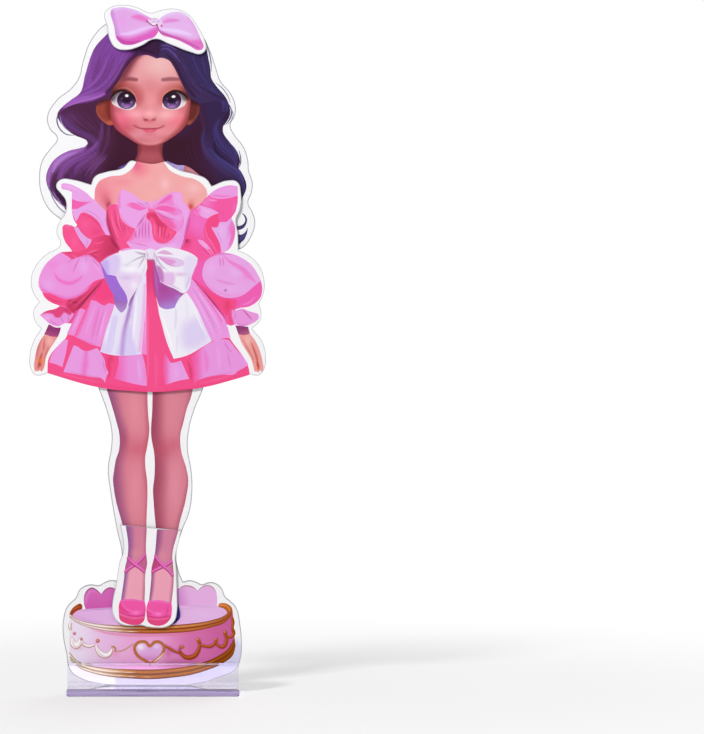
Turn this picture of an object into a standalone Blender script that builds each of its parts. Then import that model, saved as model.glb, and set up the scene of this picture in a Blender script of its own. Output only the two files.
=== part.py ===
"""Magnetic dress-up doll.

A flat doll is die-cut from a magnetic sheet faced with printed card, and stands in the slot of a
clear holder. Its dress, hair bow and shoes are thinner die-cut magnets that cling to its front.

Metres, +Z up. The origin is the middle of the holder's underside, and the doll faces -Y.
"""

import math

import bpy

MM = 0.001

# Doll board: card, glue, magnetic core, glue, card
FIGURE_HEIGHT = 184.2 * MM
CARD = 0.25 * MM
CORE = 0.80 * MM
GLUE_LINE = 0.05 * MM
DOLL_STACK = 2 * CARD + 2 * GLUE_LINE + CORE

# Clothes: card, glue, thin magnet
CLOTHES_CARD = 0.25 * MM
CLOTHES_MAGNET = 0.50 * MM
CLING_GAP = 0.05 * MM

# Clear holder: a base plate with two walls that leave a slot for the doll board
HOLDER_WIDTH = 47.0 * MM
HOLDER_DEPTH = 24.0 * MM
BASE_THICKNESS = 2.0 * MM
BASE_EDGE_RADIUS = 0.4 * MM
WALL_THICKNESS = 1.5 * MM
WALL_HEIGHT = 6.2 * MM
LEAD_IN = 0.5 * MM
WALL_EDGE = 0.3 * MM
SLOT_CLEARANCE = 0.2 * MM
SLOT_WIDTH = DOLL_STACK + 2 * SLOT_CLEARANCE
SEAT_GAP = 0.05 * MM

# Smoothness of the die-cut lines, and of the rounded edges
CURVE_STEPS = 4
BEVEL_STEPS = 2

# Die-cut lines. Each point is (across, up) on one drawing of the doll, measured from the middle of
# its foot and scaled to FIGURE_HEIGHT. A line is smooth through a point unless the point says SHARP.
SHARP = "VECTOR"

HAIR_LEFT = [
    (-1.0, 184.2), (-8.0, 183.6), (-12.9, 181.8), (-17.1, 177.2), (-19.4, 171.0), (-20.3, 167.3),
    (-22.4, 164.2), (-26.5, 160.8), (-29.1, 156.2), (-28.4, 152.9), (-26.4, 150.3), (-28.2, 147.5),
    (-30.4, 144.4), (-31.3, 139.8), (-30.5, 134.3), (-28.3, 130.4), (-25.0, 127.7),
]
ARM_LEFT = [
    (-22.6, 125.0), (-22.2, 119.0), (-23.0, 108.0), (-23.4, 96.0), (-22.4, 89.8), (-19.8, 88.2),
    (-16.8, 87.0), (-15.0, 81.7),
]
LEG_LEFT = [
    (-12.6, 75.0), (-11.4, 69.5), (-11.5, 65.5), (-12.4, 59.5), (-11.7, 53.0), (-9.9, 42.5),
    (-8.6, 36.2), (-9.0, 32.0), (-10.0, 28.7, SHARP),
]
PEDESTAL_LEFT = [
    (-11.8, 28.8), (-13.4, 28.2), (-14.6, 27.5), (-17.6, 27.6), (-20.2, 26.2), (-21.2, 24.1),
    (-23.6, 21.6), (-24.7, 18.0), (-24.7, 13.5), (-23.8, 8.6), (-22.9, 4.3), (-20.4, 2.1),
    (-14.6, 0.4), (-9.0, 0.0, SHARP),
]
PEDESTAL_RIGHT = [
    (9.0, 0.0, SHARP), (13.0, 0.6), (18.0, 2.1), (22.8, 4.5), (24.1, 7.4), (24.4, 11.5),
    (24.0, 16.5), (22.9, 21.3), (21.2, 23.2), (19.9, 24.3), (18.9, 26.6), (16.7, 28.2),
    (15.1, 28.2), (13.5, 27.7), (11.8, 28.4), (10.0, 28.8), (8.3, 28.4, SHARP),
]
LEG_RIGHT = [
    (7.2, 31.0), (6.4, 35.6), (8.0, 42.4), (9.9, 47.2), (10.8, 53.5), (10.5, 59.5), (9.6, 64.8),
    (9.8, 69.4), (11.0, 74.6), (13.8, 81.6),
]
ARM_RIGHT = [
    (15.4, 87.0), (18.4, 88.2), (21.0, 89.8), (22.0, 96.0), (21.6, 108.0), (20.9, 115.0),
]
HAIR_RIGHT = [
    (22.2, 119.0), (24.9, 120.4), (27.3, 123.9), (28.1, 127.4), (27.3, 130.2), (26.2, 132.4),
    (27.1, 135.3), (27.4, 138.0), (26.4, 141.4), (26.1, 144.5), (24.9, 148.0), (22.4, 151.3),
    (21.3, 153.9), (22.5, 156.5), (22.7, 159.3), (21.4, 162.6), (18.6, 166.0), (17.4, 169.4),
    (15.6, 174.6), (13.2, 179.0), (9.0, 182.3), (4.0, 183.8),
]
FIGURE_LINE = (
    HAIR_LEFT + ARM_LEFT + LEG_LEFT + PEDESTAL_LEFT + PEDESTAL_RIGHT + LEG_RIGHT + ARM_RIGHT + HAIR_RIGHT
)
DRAWN_HEIGHT = max(point[1] for point in FIGURE_LINE)

SLEEVE_LEFT = [
    (-4.6, 143.9, SHARP), (-6.0, 144.1), (-8.3, 142.1), (-12.9, 141.0), (-16.0, 139.7),
    (-17.0, 137.5, SHARP), (-22.2, 138.9), (-25.4, 138.9), (-26.6, 137.1), (-25.3, 135.1),
    (-24.0, 133.2), (-24.1, 129.8), (-25.8, 127.1), (-26.5, 124.4), (-25.5, 121.0),
    (-29.3, 118.4), (-32.6, 114.6), (-33.5, 110.3), (-32.6, 107.2), (-31.2, 105.3, SHARP),
]
HAND_LEFT = [
    (-32.8, 103.0), (-32.3, 99.8), (-30.7, 98.0, SHARP), (-32.6, 95.0), (-33.9, 90.5),
    (-33.6, 87.0), (-32.2, 85.2), (-30.6, 85.2), (-29.1, 85.8, SHARP),
]
HEM = [
    (-22.0, 83.6), (-14.0, 81.7), (-6.5, 80.9), (0.0, 80.6), (7.0, 81.0), (14.5, 82.0), (21.5, 83.8),
]
HAND_RIGHT = [
    (26.9, 85.4, SHARP), (28.8, 85.1), (30.4, 86.6), (31.0, 90.0), (30.0, 94.4),
    (27.2, 98.0, SHARP), (29.4, 100.2), (29.7, 102.8), (29.1, 104.8, SHARP),
]
SLEEVE_RIGHT = [
    (30.4, 107.8), (30.5, 111.6), (28.8, 115.8), (25.8, 118.4), (23.4, 119.5, SHARP), (23.3, 124.0),
    (22.8, 128.1), (23.9, 130.8), (24.1, 135.4), (23.2, 138.2), (20.8, 138.7), (16.1, 137.1, SHARP),
    (14.6, 139.1), (11.5, 140.4), (6.8, 141.7), (3.4, 143.9, SHARP), (0.0, 143.2),
]
DRESS_LINE = SLEEVE_LEFT + HAND_LEFT + HEM + HAND_RIGHT + SLEEVE_RIGHT

BOW_LINE = [
    (-0.6, 184.7), (2.4, 185.5), (6.0, 185.8), (9.4, 184.5), (12.2, 181.1), (14.2, 177.2),
    (14.5, 174.7), (13.1, 173.4), (10.4, 173.9), (4.6, 176.1), (0.6, 177.5), (-3.6, 175.5),
    (-7.4, 174.5), (-10.3, 175.1), (-11.8, 177.2), (-12.7, 181.4), (-13.4, 184.3), (-12.2, 185.9),
    (-8.4, 186.9), (-4.4, 186.2),
]

SHOES_LINE = [
    (-9.0, 44.1, SHARP), (7.8, 42.6, SHARP), (7.0, 39.0), (6.2, 35.6), (6.4, 31.5), (6.6, 25.0),
    (6.6, 20.5), (5.8, 17.6), (3.6, 16.1), (0.4, 15.9), (-1.9, 16.2), (-3.4, 16.6), (-6.0, 16.4),
    (-9.0, 17.0), (-11.0, 19.6), (-11.1, 23.0), (-10.2, 27.4), (-9.6, 31.5), (-9.1, 34.3),
    (-8.3, 36.2), (-8.1, 38.6), (-8.5, 41.6),
]


def clear_scene():
    """Removes what the startup scene holds."""
    for obj in list(bpy.data.objects):
        bpy.data.objects.remove(obj, do_unlink=True)


def make_collection(name):
    collection = bpy.data.collections.new(name)
    bpy.context.scene.collection.children.link(collection)
    return collection


def make_material(name, colour, roughness, alpha=1.0):
    material = bpy.data.materials.new(name)
    material.use_nodes = True
    shader = material.node_tree.nodes["Principled BSDF"]
    shader.inputs["Base Color"].default_value = (*colour, 1.0)
    shader.inputs["Roughness"].default_value = roughness
    shader.inputs["Metallic"].default_value = 0.0
    shader.inputs["Alpha"].default_value = alpha
    return material


def make_frame(collection, name, location, parent=None):
    """An empty that carries the pieces of one body."""
    frame = bpy.data.objects.new(name, None)
    frame.location = location
    frame.parent = parent
    collection.objects.link(frame)
    return frame


def place(collection, obj, material, parent, location):
    obj.data.materials.append(material)
    obj.parent = parent
    obj.location = location
    collection.objects.link(obj)
    return obj


def die_cut_sheet(collection, name, line, thickness, material, parent, front):
    """A flat sheet cut along a closed line, standing upright, with its front face at Y = front."""
    curve = bpy.data.curves.new(name, "CURVE")
    curve.dimensions = "2D"
    curve.fill_mode = "BOTH"
    curve.resolution_u = CURVE_STEPS
    curve.extrude = thickness / 2
    spline = curve.splines.new("BEZIER")
    spline.bezier_points.add(len(line) - 1)
    spline.use_cyclic_u = True
    size = FIGURE_HEIGHT / DRAWN_HEIGHT
    for point, (across, up, *corner) in zip(spline.bezier_points, line):
        point.co = (across * size, up * size, 0.0)
        point.handle_left_type = point.handle_right_type = SHARP if corner else "AUTO"
    sheet = bpy.data.objects.new(name, curve)
    sheet.rotation_euler = (math.pi / 2, 0.0, 0.0)
    return place(collection, sheet, material, parent, (0.0, front + thickness / 2, 0.0))


def build_holder(collection):
    """Base plate, front wall and rear wall, cut from clear sheet and cemented together."""
    clear = make_material("clear_acrylic", (0.86, 0.84, 0.92), 0.08, alpha=0.35)
    frame = make_frame(collection, "holder_frame", (0.0, 0.0, 0.0))

    bpy.ops.mesh.primitive_cube_add(size=1.0)
    base = bpy.context.object
    base.name = "holder_base"
    for other in list(base.users_collection):
        other.objects.unlink(base)
    base.scale = (HOLDER_WIDTH, HOLDER_DEPTH, BASE_THICKNESS)
    bpy.context.view_layer.update()
    base.data.transform(base.matrix_basis)
    base.scale = (1.0, 1.0, 1.0)
    bevel = base.modifiers.new("rounded_edges", "BEVEL")
    bevel.width = BASE_EDGE_RADIUS
    bevel.segments = BEVEL_STEPS
    place(collection, base, clear, frame, (0.0, 0.0, BASE_THICKNESS / 2))

    holder_wall(collection, "holder_front_wall", -1, clear, frame)
    holder_wall(collection, "holder_rear_wall", 1, clear, frame)


def holder_wall(collection, name, side, material, parent):
    """A straight strip along the slot, with a lead-in chamfer inside. Side is -1 at the front."""
    inner = side * SLOT_WIDTH / 2
    outer = inner + side * WALL_THICKNESS
    profile = [
        (inner, 0.0),
        (outer, 0.0),
        (outer, WALL_HEIGHT - WALL_EDGE),
        (outer - side * WALL_EDGE, WALL_HEIGHT),
        (inner + side * LEAD_IN, WALL_HEIGHT),
        (inner, WALL_HEIGHT - LEAD_IN),
    ]
    curve = bpy.data.curves.new(name, "CURVE")
    curve.dimensions = "2D"
    curve.fill_mode = "BOTH"
    curve.extrude = HOLDER_WIDTH / 2
    spline = curve.splines.new("POLY")
    spline.points.add(len(profile) - 1)
    spline.use_cyclic_u = True
    for point, (depth, up) in zip(spline.points, profile):
        point.co = (depth, up, 0.0, 1.0)
    wall = bpy.data.objects.new(name, curve)
    wall.rotation_euler = (math.pi / 2, 0.0, math.pi / 2)
    return place(collection, wall, material, parent, (0.0, 0.0, BASE_THICKNESS + GLUE_LINE))


def build_doll(collection):
    """The doll board: printed front card, magnetic core and plain back card, glued together."""
    front_card = make_material("doll_print", (0.42, 0.24, 0.50), 0.25)
    back_card = make_material("plain_card", (0.93, 0.92, 0.93), 0.55)
    core = make_material("magnet_sheet", (0.03, 0.03, 0.035), 0.6)
    frame = make_frame(collection, "doll_frame", (0.0, 0.0, BASE_THICKNESS + SEAT_GAP))
    front = -DOLL_STACK / 2
    die_cut_sheet(collection, "doll_front_card", FIGURE_LINE, CARD, front_card, frame, front)
    front += CARD + GLUE_LINE
    die_cut_sheet(collection, "doll_core", FIGURE_LINE, CORE, core, frame, front)
    front += CORE + GLUE_LINE
    die_cut_sheet(collection, "doll_back_card", FIGURE_LINE, CARD, back_card, frame, front)
    return frame


def build_garment(collection, name, line, colour, doll):
    """One piece of clothing: printed card glued on a thin magnet that clings to the doll's front."""
    print_material = make_material(name + "_print", colour, 0.25)
    magnet_material = make_material(name + "_magnet_sheet", (0.03, 0.03, 0.035), 0.6)
    frame = make_frame(collection, name + "_frame", (0.0, -DOLL_STACK / 2 - CLING_GAP, 0.0), doll)
    front = -CLOTHES_MAGNET
    die_cut_sheet(collection, name + "_magnet", line, CLOTHES_MAGNET, magnet_material, frame, front)
    front -= GLUE_LINE + CLOTHES_CARD
    die_cut_sheet(collection, name + "_card", line, CLOTHES_CARD, print_material, frame, front)


def main():
    clear_scene()
    collection = make_collection("magnetic_dress_up_doll")
    build_holder(collection)
    doll = build_doll(collection)
    build_garment(collection, "dress", DRESS_LINE, (0.88, 0.30, 0.60), doll)
    build_garment(collection, "bow", BOW_LINE, (0.75, 0.42, 0.80), doll)
    build_garment(collection, "shoes", SHOES_LINE, (0.84, 0.20, 0.48), doll)


main()
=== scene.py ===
import bmesh
import bpy
import numpy as np
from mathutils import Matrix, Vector
from mathutils.geometry import delaunay_2d_cdt


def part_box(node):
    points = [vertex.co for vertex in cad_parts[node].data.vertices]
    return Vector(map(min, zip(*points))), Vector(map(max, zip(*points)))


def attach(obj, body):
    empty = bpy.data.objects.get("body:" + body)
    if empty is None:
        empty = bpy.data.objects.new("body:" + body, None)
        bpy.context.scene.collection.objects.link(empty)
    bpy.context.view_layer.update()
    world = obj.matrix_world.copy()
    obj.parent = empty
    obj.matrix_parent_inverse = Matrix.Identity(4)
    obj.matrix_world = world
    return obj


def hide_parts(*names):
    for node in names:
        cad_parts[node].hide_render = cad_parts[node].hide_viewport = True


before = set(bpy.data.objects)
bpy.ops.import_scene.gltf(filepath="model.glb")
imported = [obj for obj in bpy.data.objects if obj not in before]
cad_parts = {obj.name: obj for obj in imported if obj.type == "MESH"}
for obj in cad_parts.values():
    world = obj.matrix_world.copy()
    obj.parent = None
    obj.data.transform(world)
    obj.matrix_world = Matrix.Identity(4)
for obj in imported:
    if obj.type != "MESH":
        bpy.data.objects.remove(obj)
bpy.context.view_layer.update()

# The prints are drawn in millimetres, across from the middle of the doll and up from its foot
MM = 0.001
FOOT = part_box("doll_core")[0].z
CARD_WHITE = "F4F3F5"
CUT_EDGE = "DADADE"

# How fine a smooth line is cut, and the finest step of the printed colour, in millimetres
LINE_STEP = 0.4
PLAIN_GRAIN = 0.7


def rgb(code):
    """Red, green and blue from 0 to 1, from a hex code as a paint chart gives it."""
    return np.array([int(code[i:i + 2], 16) for i in (0, 2, 4)]) / 255


def spline(points, closed):
    """A smooth line through the points, cut into short steps."""
    if len(points) < 3 and not closed:
        return points
    before = np.roll(points, 1, 0)
    after = np.roll(points, -1, 0)
    if not closed:
        before[0] = 2 * points[0] - points[1]
        after[-1] = 2 * points[-1] - points[-2]
    back = np.linalg.norm(points - before, axis=1)[:, None] + 1e-9
    ahead = np.linalg.norm(after - points, axis=1)[:, None] + 1e-9
    slope = ((after - points) / ahead * back + (points - before) / back * ahead) / (back + ahead)
    out = []
    for i in range(len(points) - (not closed)):
        j = (i + 1) % len(points)
        span = ahead[i, 0]
        t = np.linspace(0, 1, max(2, int(span / LINE_STEP) + 1), endpoint=False)[:, None]
        out.append(
            (2 * t**3 - 3 * t**2 + 1) * points[i] + (t**3 - 2 * t**2 + t) * span * slope[i]
            + (3 * t**2 - 2 * t**3) * points[j] + (t**3 - t**2) * span * slope[j]
        )
    if not closed:
        out.append(points[-1:])
    return np.concatenate(out)


def line(text, closed=True):
    """The smooth line through points written as across,up in millimetres. A ! makes a corner."""
    words = text.split()
    points = np.array([[float(v) for v in word.rstrip("!").split(",")] for word in words])
    corners = [i for i, word in enumerate(words) if word.endswith("!")]
    if not corners:
        return spline(points, closed)
    if not closed:
        stops = sorted({0, len(points) - 1, *corners})
        runs = [points[a:b + 1] for a, b in zip(stops, stops[1:])]
        return np.concatenate([spline(run, False)[:-1] for run in runs] + [points[-1:]])
    points = np.roll(points, -corners[0], 0)
    stops = [c - corners[0] for c in corners] + [len(points)]
    points = np.concatenate([points, points[:1]])
    return np.concatenate([spline(points[a:b + 1], False)[:-1] for a, b in zip(stops, stops[1:])])


def inside(points, edge):
    """Which points lie within a closed line."""
    low, high = edge.min(0), edge.max(0)
    found = np.zeros(len(points), bool)
    near = np.flatnonzero(((points >= low) & (points <= high)).all(1))
    if not len(near):
        return found
    x, y = points[near, 0], points[near, 1]
    odd = np.zeros(len(near), bool)
    for (ax, ay), (bx, by) in zip(edge, np.roll(edge, -1, 0)):
        if ay == by:
            continue
        odd ^= ((ay > y) != (by > y)) & (x < (bx - ax) * (y - ay) / (by - ay) + ax)
    found[near] = odd
    return found


def to_path(points, path):
    """Each point's distance to a path, and how far along the path that is, from 0 to 1."""
    start, step = path[:-1], np.diff(path, axis=0)
    length = np.linalg.norm(step, axis=1) + 1e-9
    total = np.concatenate([[0], np.cumsum(length)])
    off = points[:, None] - start
    share = np.clip((off * step).sum(2) / length**2, 0, 1)
    gap = np.linalg.norm(off - share[..., None] * step, axis=2)
    best = gap.argmin(1)
    rows = np.arange(len(points))
    return gap[rows, best], (total[best] + share[rows, best] * length[best]) / total[-1]


# How far a blob is laid, in its own widths, and how much of a fine line is soft
BLOB_REACH = 2.2
LINE_SOFT = 0.75


def ease(value):
    """A smooth step from 0 to 1."""
    value = np.clip(value, 0, 1)
    return value * value * (3 - 2 * value)


def mark(box, cover, ink):
    """A layer of ink: cover gives its strength at the points that lie in the box."""
    colour = rgb(ink)
    low, high = box

    def lay(points, shade):
        near = np.flatnonzero(((points > low) & (points < high)).all(1))
        if len(near):
            shade[near] += cover(points[near])[:, None] * (colour - shade[near])

    return lay


def brush(path, width, ink, strength=0.8, soft=1.0):
    """A stroke along a path. One width tapers at both ends, and several are spread along it."""
    path = line(path, False) if isinstance(path, str) else path
    widths = [0, width * 0.75, width, width * 0.75, 0] if np.isscalar(width) else list(width)
    stops = np.linspace(0, 1, len(widths))
    reach = max(widths) / 2 + 0.1

    def cover(points):
        gap, along = to_path(points, path)
        half = np.interp(along, stops, widths) / 2
        return strength * ease((half - gap) / (half * soft + 0.02) + 0.02)

    return mark((path.min(0) - reach, path.max(0) + reach), cover, ink)


def blob(x, h, across, up, ink, strength=0.8, turn=0.0):
    """A soft round patch."""
    c, s = np.cos(np.radians(turn)), np.sin(np.radians(turn))
    reach = BLOB_REACH * max(across, up)

    def cover(points):
        dx, dh = points[:, 0] - x, points[:, 1] - h
        return strength * np.exp(-(((dx * c + dh * s) / across) ** 2 + ((dh * c - dx * s) / up) ** 2))

    return mark((np.array((x - reach, h - reach)), np.array((x + reach, h + reach))), cover, ink)


def patch(path, ink, strength=0.8, soft=0.8):
    """A closed shape with a soft edge, soft millimetres wide."""
    edge = line(path)
    loop = np.concatenate([edge, edge[:1]])

    def cover(points):
        gap, _ = to_path(points, loop)
        gap = np.where(inside(points, edge), gap, -gap)
        return strength * ease(gap / soft + 0.5)

    return mark((edge.min(0) - soft, edge.max(0) + soft), cover, ink)


def ramp(start, end, ink, strength=1.0):
    """An even change of colour from one point to another."""
    start, end = np.array(start), np.array(end)
    step = end - start

    def cover(points):
        return strength * ease((points - start) @ step / (step @ step))

    far = np.array((1e3, 1e3))
    return mark((-far, far), cover, ink)


def even(path, count=20):
    """The same path with evenly spread points."""
    path = line(path, False)
    length = np.concatenate([[0], np.cumsum(np.linalg.norm(np.diff(path, axis=0), axis=1))])
    at = np.linspace(0, length[-1], count)
    return np.stack([np.interp(at, length, path[:, i]) for i in (0, 1)], 1)


def strands(guides, count, width, inks, strength, seed=1):
    """Fine strokes that run between guide paths, in inks taken by turns."""
    chance = np.random.default_rng(seed)
    paths = [even(guide) for guide in guides]
    made = []
    for n in range(count):
        place = (n + chance.uniform(0.2, 0.8)) / count * (len(paths) - 1)
        first = min(int(place), len(paths) - 2)
        share = place - first
        path = paths[first] * (1 - share) + paths[first + 1] * share
        a = chance.integers(0, 5)
        b = chance.integers(14, 20)
        made.append(brush(path[a:b + 1], width * chance.uniform(0.5, 1.3), inks[n % len(inks)],
                          strength * chance.uniform(0.5, 1.0)))
    return made


class Area:
    """A printed shape with a sharp edge: its outline, its ground colour and the marks laid on it."""

    def __init__(self, outline, ink, *marks, grain=0.35):
        self.edge = line(outline) if isinstance(outline, str) else outline
        self.ink = ink
        self.marks = marks
        self.grain = grain

    def shades(self, points):
        shade = np.tile(rgb(self.ink), (len(points), 1))
        for lay in self.marks:
            lay(points, shade)
        return np.clip(shade, 0, 1)


def lines(ink, width, strength, *paths):
    """Several strokes of one kind."""
    return [brush(path, width, ink, strength, LINE_SOFT) for path in paths]


# How fine the printed colour of the hair is, in millimetres
HAIR_GRAIN = 0.26

# The long hair behind the face and shoulders, in its two halves
BACK_HAIR_LEFT = Area("-12.3,179.3! -15.8,175.5 -18.6,168 -20.2,162.6 -22.6,160.8 -26.3,156.6 -24.6,153.5"
    " -20.8,150.8 -19.2,150.2 -18.2,149.6 -18,149 -18.5,148.2 -20.1,147.6 -22.7,147 -27.5,144 -29.4,139.6"
    " -28,135 -25,132 -22,127.2! -14,129 -6,138 -3.5,150 -3,165 0.5,175! 0.5,182 -7,182", "52284F",
    patch("-27,160 -16,161 -9,160 -3,150 -3,140 -12,143 -15,147 -17.5,150 -22,152.5", "4A2240", 0.9, 4),
    patch("-14,159 -3,152 -3,139 -14,141 -11,148", "3B162A", 0.85, 5),
    blob(-11.6, 152.4, 1.8, 3, "481C32"), blob(-22.6, 155.6, 2.6, 2.2, "5E3468", 0.7, -40),
    brush("-25.6,157 -24.2,155 -22,153 -19.4,151.6 -17,150.4 -15.6,148.6 -16.4,146.8",
    [0.6, 2.6, 3, 2.6, 3, 3, 1], "643C7E", 0.75),
    brush("-13.8,156 -14,153 -15.6,148 -18,146.6", [0.4, 1.8, 2.2, 2, 0.6], "6E4184", 0.6),
    brush("-12,155 -12.4,151.6 -12.8,148.6 -14,145.6", [0.4, 1.6, 1.8, 0.6], "5C2F5C", 0.7),
    brush("-17.9,149 -18.8,147.8 -23.2,146.2 -26,144.5 -28.8,139.6 -28.6,137",
    [0.3, 2.4, 4, 5.6, 5.6, 4.6, 3, 1], "A468BE", 0.9),
    brush("-21,146.4 -24,145.2 -26.4,143.4 -27.6,141", [0.6, 2.2, 2.4, 0.8], "B684D0", 0.7),
    brush("-15,149.6 -16.6,147.6 -19.4,145.8 -24.8,141.6 -25.6,139.2", [0.3, 2, 3.4, 4, 3.6, 2.6],
    "8A4EA2", 0.75), brush("-14.3,148.5 -16,146.2 -20.8,142.4 -22.2,140 -22.6,138.8",
    [0.3, 1.6, 2.8, 3.2, 3, 1.4], "6B377F", 0.75),
    brush("-20,144.8 -21.6,142.6 -22.2,140.4 -22.2,139", [0.3, 1.2, 1.4, 0.8], "4E2256", 0.6),
    brush("-17.2,144.4 -19.2,140 -19,138.2", [0.4, 1.8, 2, 1.4], "44204A", 0.6),
    brush("-28.4,138 -27.4,135.4 -23.8,130.6", [0.5, 1.6, 2, 1.6], "5B3570", 0.9),
    brush("-27,137.6 -26.2,135.2 -22.8,131.4", [0.6, 2.2, 2.4, 1.6], "36153A", 0.85),
    brush("-28,136.8 -26.6,134.2 -24.8,132.2", 0.5, "B792CE", 0.85),
    *strands(["-15,149.2 -17.6,147.2 -21,146.2 -24.8,144.6 -27.4,141.8 -28.2,138.6",
    "-14,147 -16.2,145 -19,143.2 -21.4,141 -22.2,138.6",
    "-11.5,147 -13,144.6 -15,142.6 -16.6,140.4 -17.2,138.4"], 30, 0.75,
    ["B07CC8", "66367A", "9A5AB6", "58295E"], 0.42, 4),
    *strands(["-24.8,157.4 -22.6,154.6 -19.4,152.6 -16.4,151.4",
    "-20,159.4 -17.6,156 -15.4,153.4 -14,150.4", "-10.4,157.6 -10.2,153 -10.6,148.6 -12,144.6"], 18, 0.85,
    ["6A4278", "3A1832", "5C325E"], 0.36, 9), grain=HAIR_GRAIN)
BACK_HAIR_RIGHT = Area("0.5,182! 8,181 13.1,177.6 14.7,174.6 15.3,172 15.8,169.2 16,166.9 18.6,163.2"
    " 20.2,161.2 21,156.2 20.2,154.8 19.4,153.8 19.2,152.5 21.2,149.1 22.8,147.2 23.9,143.6 23.5,142.2"
    " 24.3,141 25.7,137 24.4,133.4 23.6,131! 19,131 8,138 2,141! 2.2,150 3,165 0.5,175!", "3B1D3C",
    patch("2,152 8,151 14,156 15,150 13,144 17,138 24,134 16,137 6,141 2,146", "39162A", 0.8, 4),
    patch("14,178 16.5,172 17,165 22,160 20,153 24,147 24,142 26,138 24,133 18,140 15,147 14,156 12,166"
    " 8,174", "34244C", 0.85, 5), brush("13.4,173 14.6,169.4 16,166 18.4,163.2 20.2,160.4 20.4,157.6",
    [0.6, 2.6, 3.4, 3.4, 3, 1.2], "3F3468"),
    brush("15.2,164.6 19.2,160.2 19.4,157.8", [0.4, 1.8, 2, 0.6], "4A4284", 0.55),
    brush("18.2,155.6 17.2,152.6 18.4,149.6 22.4,144.8 22.8,142.6", [0.6, 2.4, 3.2, 3.4, 3, 1], "3F3570",
    0.9), brush("19.2,152.4 20.6,150 22.4,147.4 23.2,144.8", [0.4, 1.6, 1.6, 0.5], "4D478A", 0.7),
    brush("16.8,149.4 17.4,146.6 19.6,144.4 22.2,142.6", [0.5, 2.2, 2.2, 0.8], "22112E"),
    brush("14.2,153.6 13.8,150 15,146.6 17.6,144 20.6,141.8 23.4,140 24.8,137.4 24.6,134.6",
    [0.4, 2.4, 3, 3.2, 3.2, 3, 2.6, 0.8], "3F3468", 0.85),
    brush("15.4,147.6 17.8,145 21,143 23.8,140.8 24.9,138.4", [0.4, 1.4, 1.6, 1.6, 0.5], "524C98", 0.7),
    brush("13.2,150 14.2,146.6 19.4,141 21.8,139.4", [0.4, 1.8, 2, 1.8, 0.6], "4A2F5E", 0.6),
    brush("22.6,138.6 23.8,136.4 24,134 23.6,131.6", [0.5, 1.8, 1.8, 1], "23122E", 0.75),
    brush("12.4,158.8 13.6,155.2 14,151.6", [0.5, 2, 0.6], "4A2644", 0.6),
    brush("20.8,158.4 20.2,156.4 19.2,154.6", [0.4, 1.3, 0.6], "241634", 0.6),
    blob(5.6, 147.6, 3.4, 2.6, "34131F", 0.6),
    *strands(["11,172.6 12.6,168.4 15.6,164.4 19,161 20.4,157.6",
    "14.4,173 15.2,169 16.8,165.6 19.8,161.6 20.8,158.6"], 8, 0.7, ["554F98", "2A1E46"], 0.4, 3),
    *strands(["13.6,153 13.6,149.4 15.4,145.6 18.6,142.6 22,140.4",
    "16,153 15.4,149.8 17,146.6 20.4,143.8 24,140.6",
    "18.6,153.6 18.2,150.8 20,148.2 22.4,145.6 23.4,142.8"], 20, 0.7, ["4E4688", "241634", "3E3266"], 0.46,
    6), *strands(["4,149 6,146 9,142.6", "11,153 11.4,148 13,143.4 16,139.6"], 9, 0.8,
    ["4C2640", "2C1020"], 0.35, 2), grain=HAIR_GRAIN)
HAIR_BACK = [BACK_HAIR_LEFT, BACK_HAIR_RIGHT]


def loose_strands():
    """Thin loose hairs and curls over the white border."""
    hairs = [("-26.2,156.6 -26.4,155.4 -26.1,153.9 -25.2,152.4 -23.8,151.4 -21.6,151.1",
        [0.3, 0.4, 0.35, 0.35, 0.3, 0.1], "6F6284"),
        ("-25.6,156.6 -25.2,154.8 -24.2,153.2 -22.6,151.9", [0.1, 0.3, 0.3, 0.1], "9488B8"),
        ("-28.6,136.6 -27.4,133.6 -25.6,131 -24,129.7", [0.1, 0.3, 0.3, 0.3], "8C7FA0"),
        ("-28.9,137.4 -27.6,134.6 -25.6,132.4 -24,131.2", [0.1, 0.22, 0.22, 0.2], "A598B8"),
        ("14.7,176.4 15.4,174 15.9,171.4 16.1,168.6", [0.1, 0.35, 0.35, 0.1], "7A7690"),
        ("17.2,165.6 18.9,164.2 20.4,162.2 21.3,160", [0.1, 0.25, 0.25, 0.1], "7A7690"),
        ("20.9,159.6 21.6,157.8 21.2,155.8 20.3,154.5 19.2,153.8", [0.2, 0.4, 0.4, 0.3, 0.1], "5E587C"),
        ("21.2,158.8 22,157.2 21.5,155.2 20.4,153.9", [0.1, 0.25, 0.25, 0.1], "9A96AE"),
        ("23.6,147 24.1,145 24,143.2 23.4,141.9", [0.1, 0.3, 0.3, 0.1], "5A5480"),
        ("24.5,129.7 25.2,129 25.6,128 25.4,127 24.7,126.1 23.8,125.7 22.8,125.6",
        [0.15, 0.4, 0.5, 0.55, 0.7, 1, 1.1, 1.1], "44386A"),
        ("25.95,125.7 25.7,124.6 25.2,123.8 24.5,123.1 23.6,122.7 22.6,122.5",
        [0.1, 0.4, 0.9, 1.7, 2.5, 2.8], "4C4076"),
        ("25.3,123.1 24.6,122.4 23.6,121.5 22.8,121", [0.1, 0.4, 0.7, 0.9], "3A2E60")]
    return [Area(thin(path, widths), ink, grain=0.3) for path, widths, ink in hairs]


def thin(path, widths):
    """The outline of a narrow stroke."""
    path = line(path, False)
    along = np.concatenate([[0], np.cumsum(np.linalg.norm(np.diff(path, axis=0), axis=1))])
    half = np.interp(along / along[-1], np.linspace(0, 1, len(widths)), widths)[:, None] / 2
    slope = np.gradient(path, axis=0)
    slope /= np.linalg.norm(slope, axis=1)[:, None]
    side = slope[:, ::-1] * (-1, 1) * half
    return np.concatenate([path + side, (path - side)[::-1]])


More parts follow.
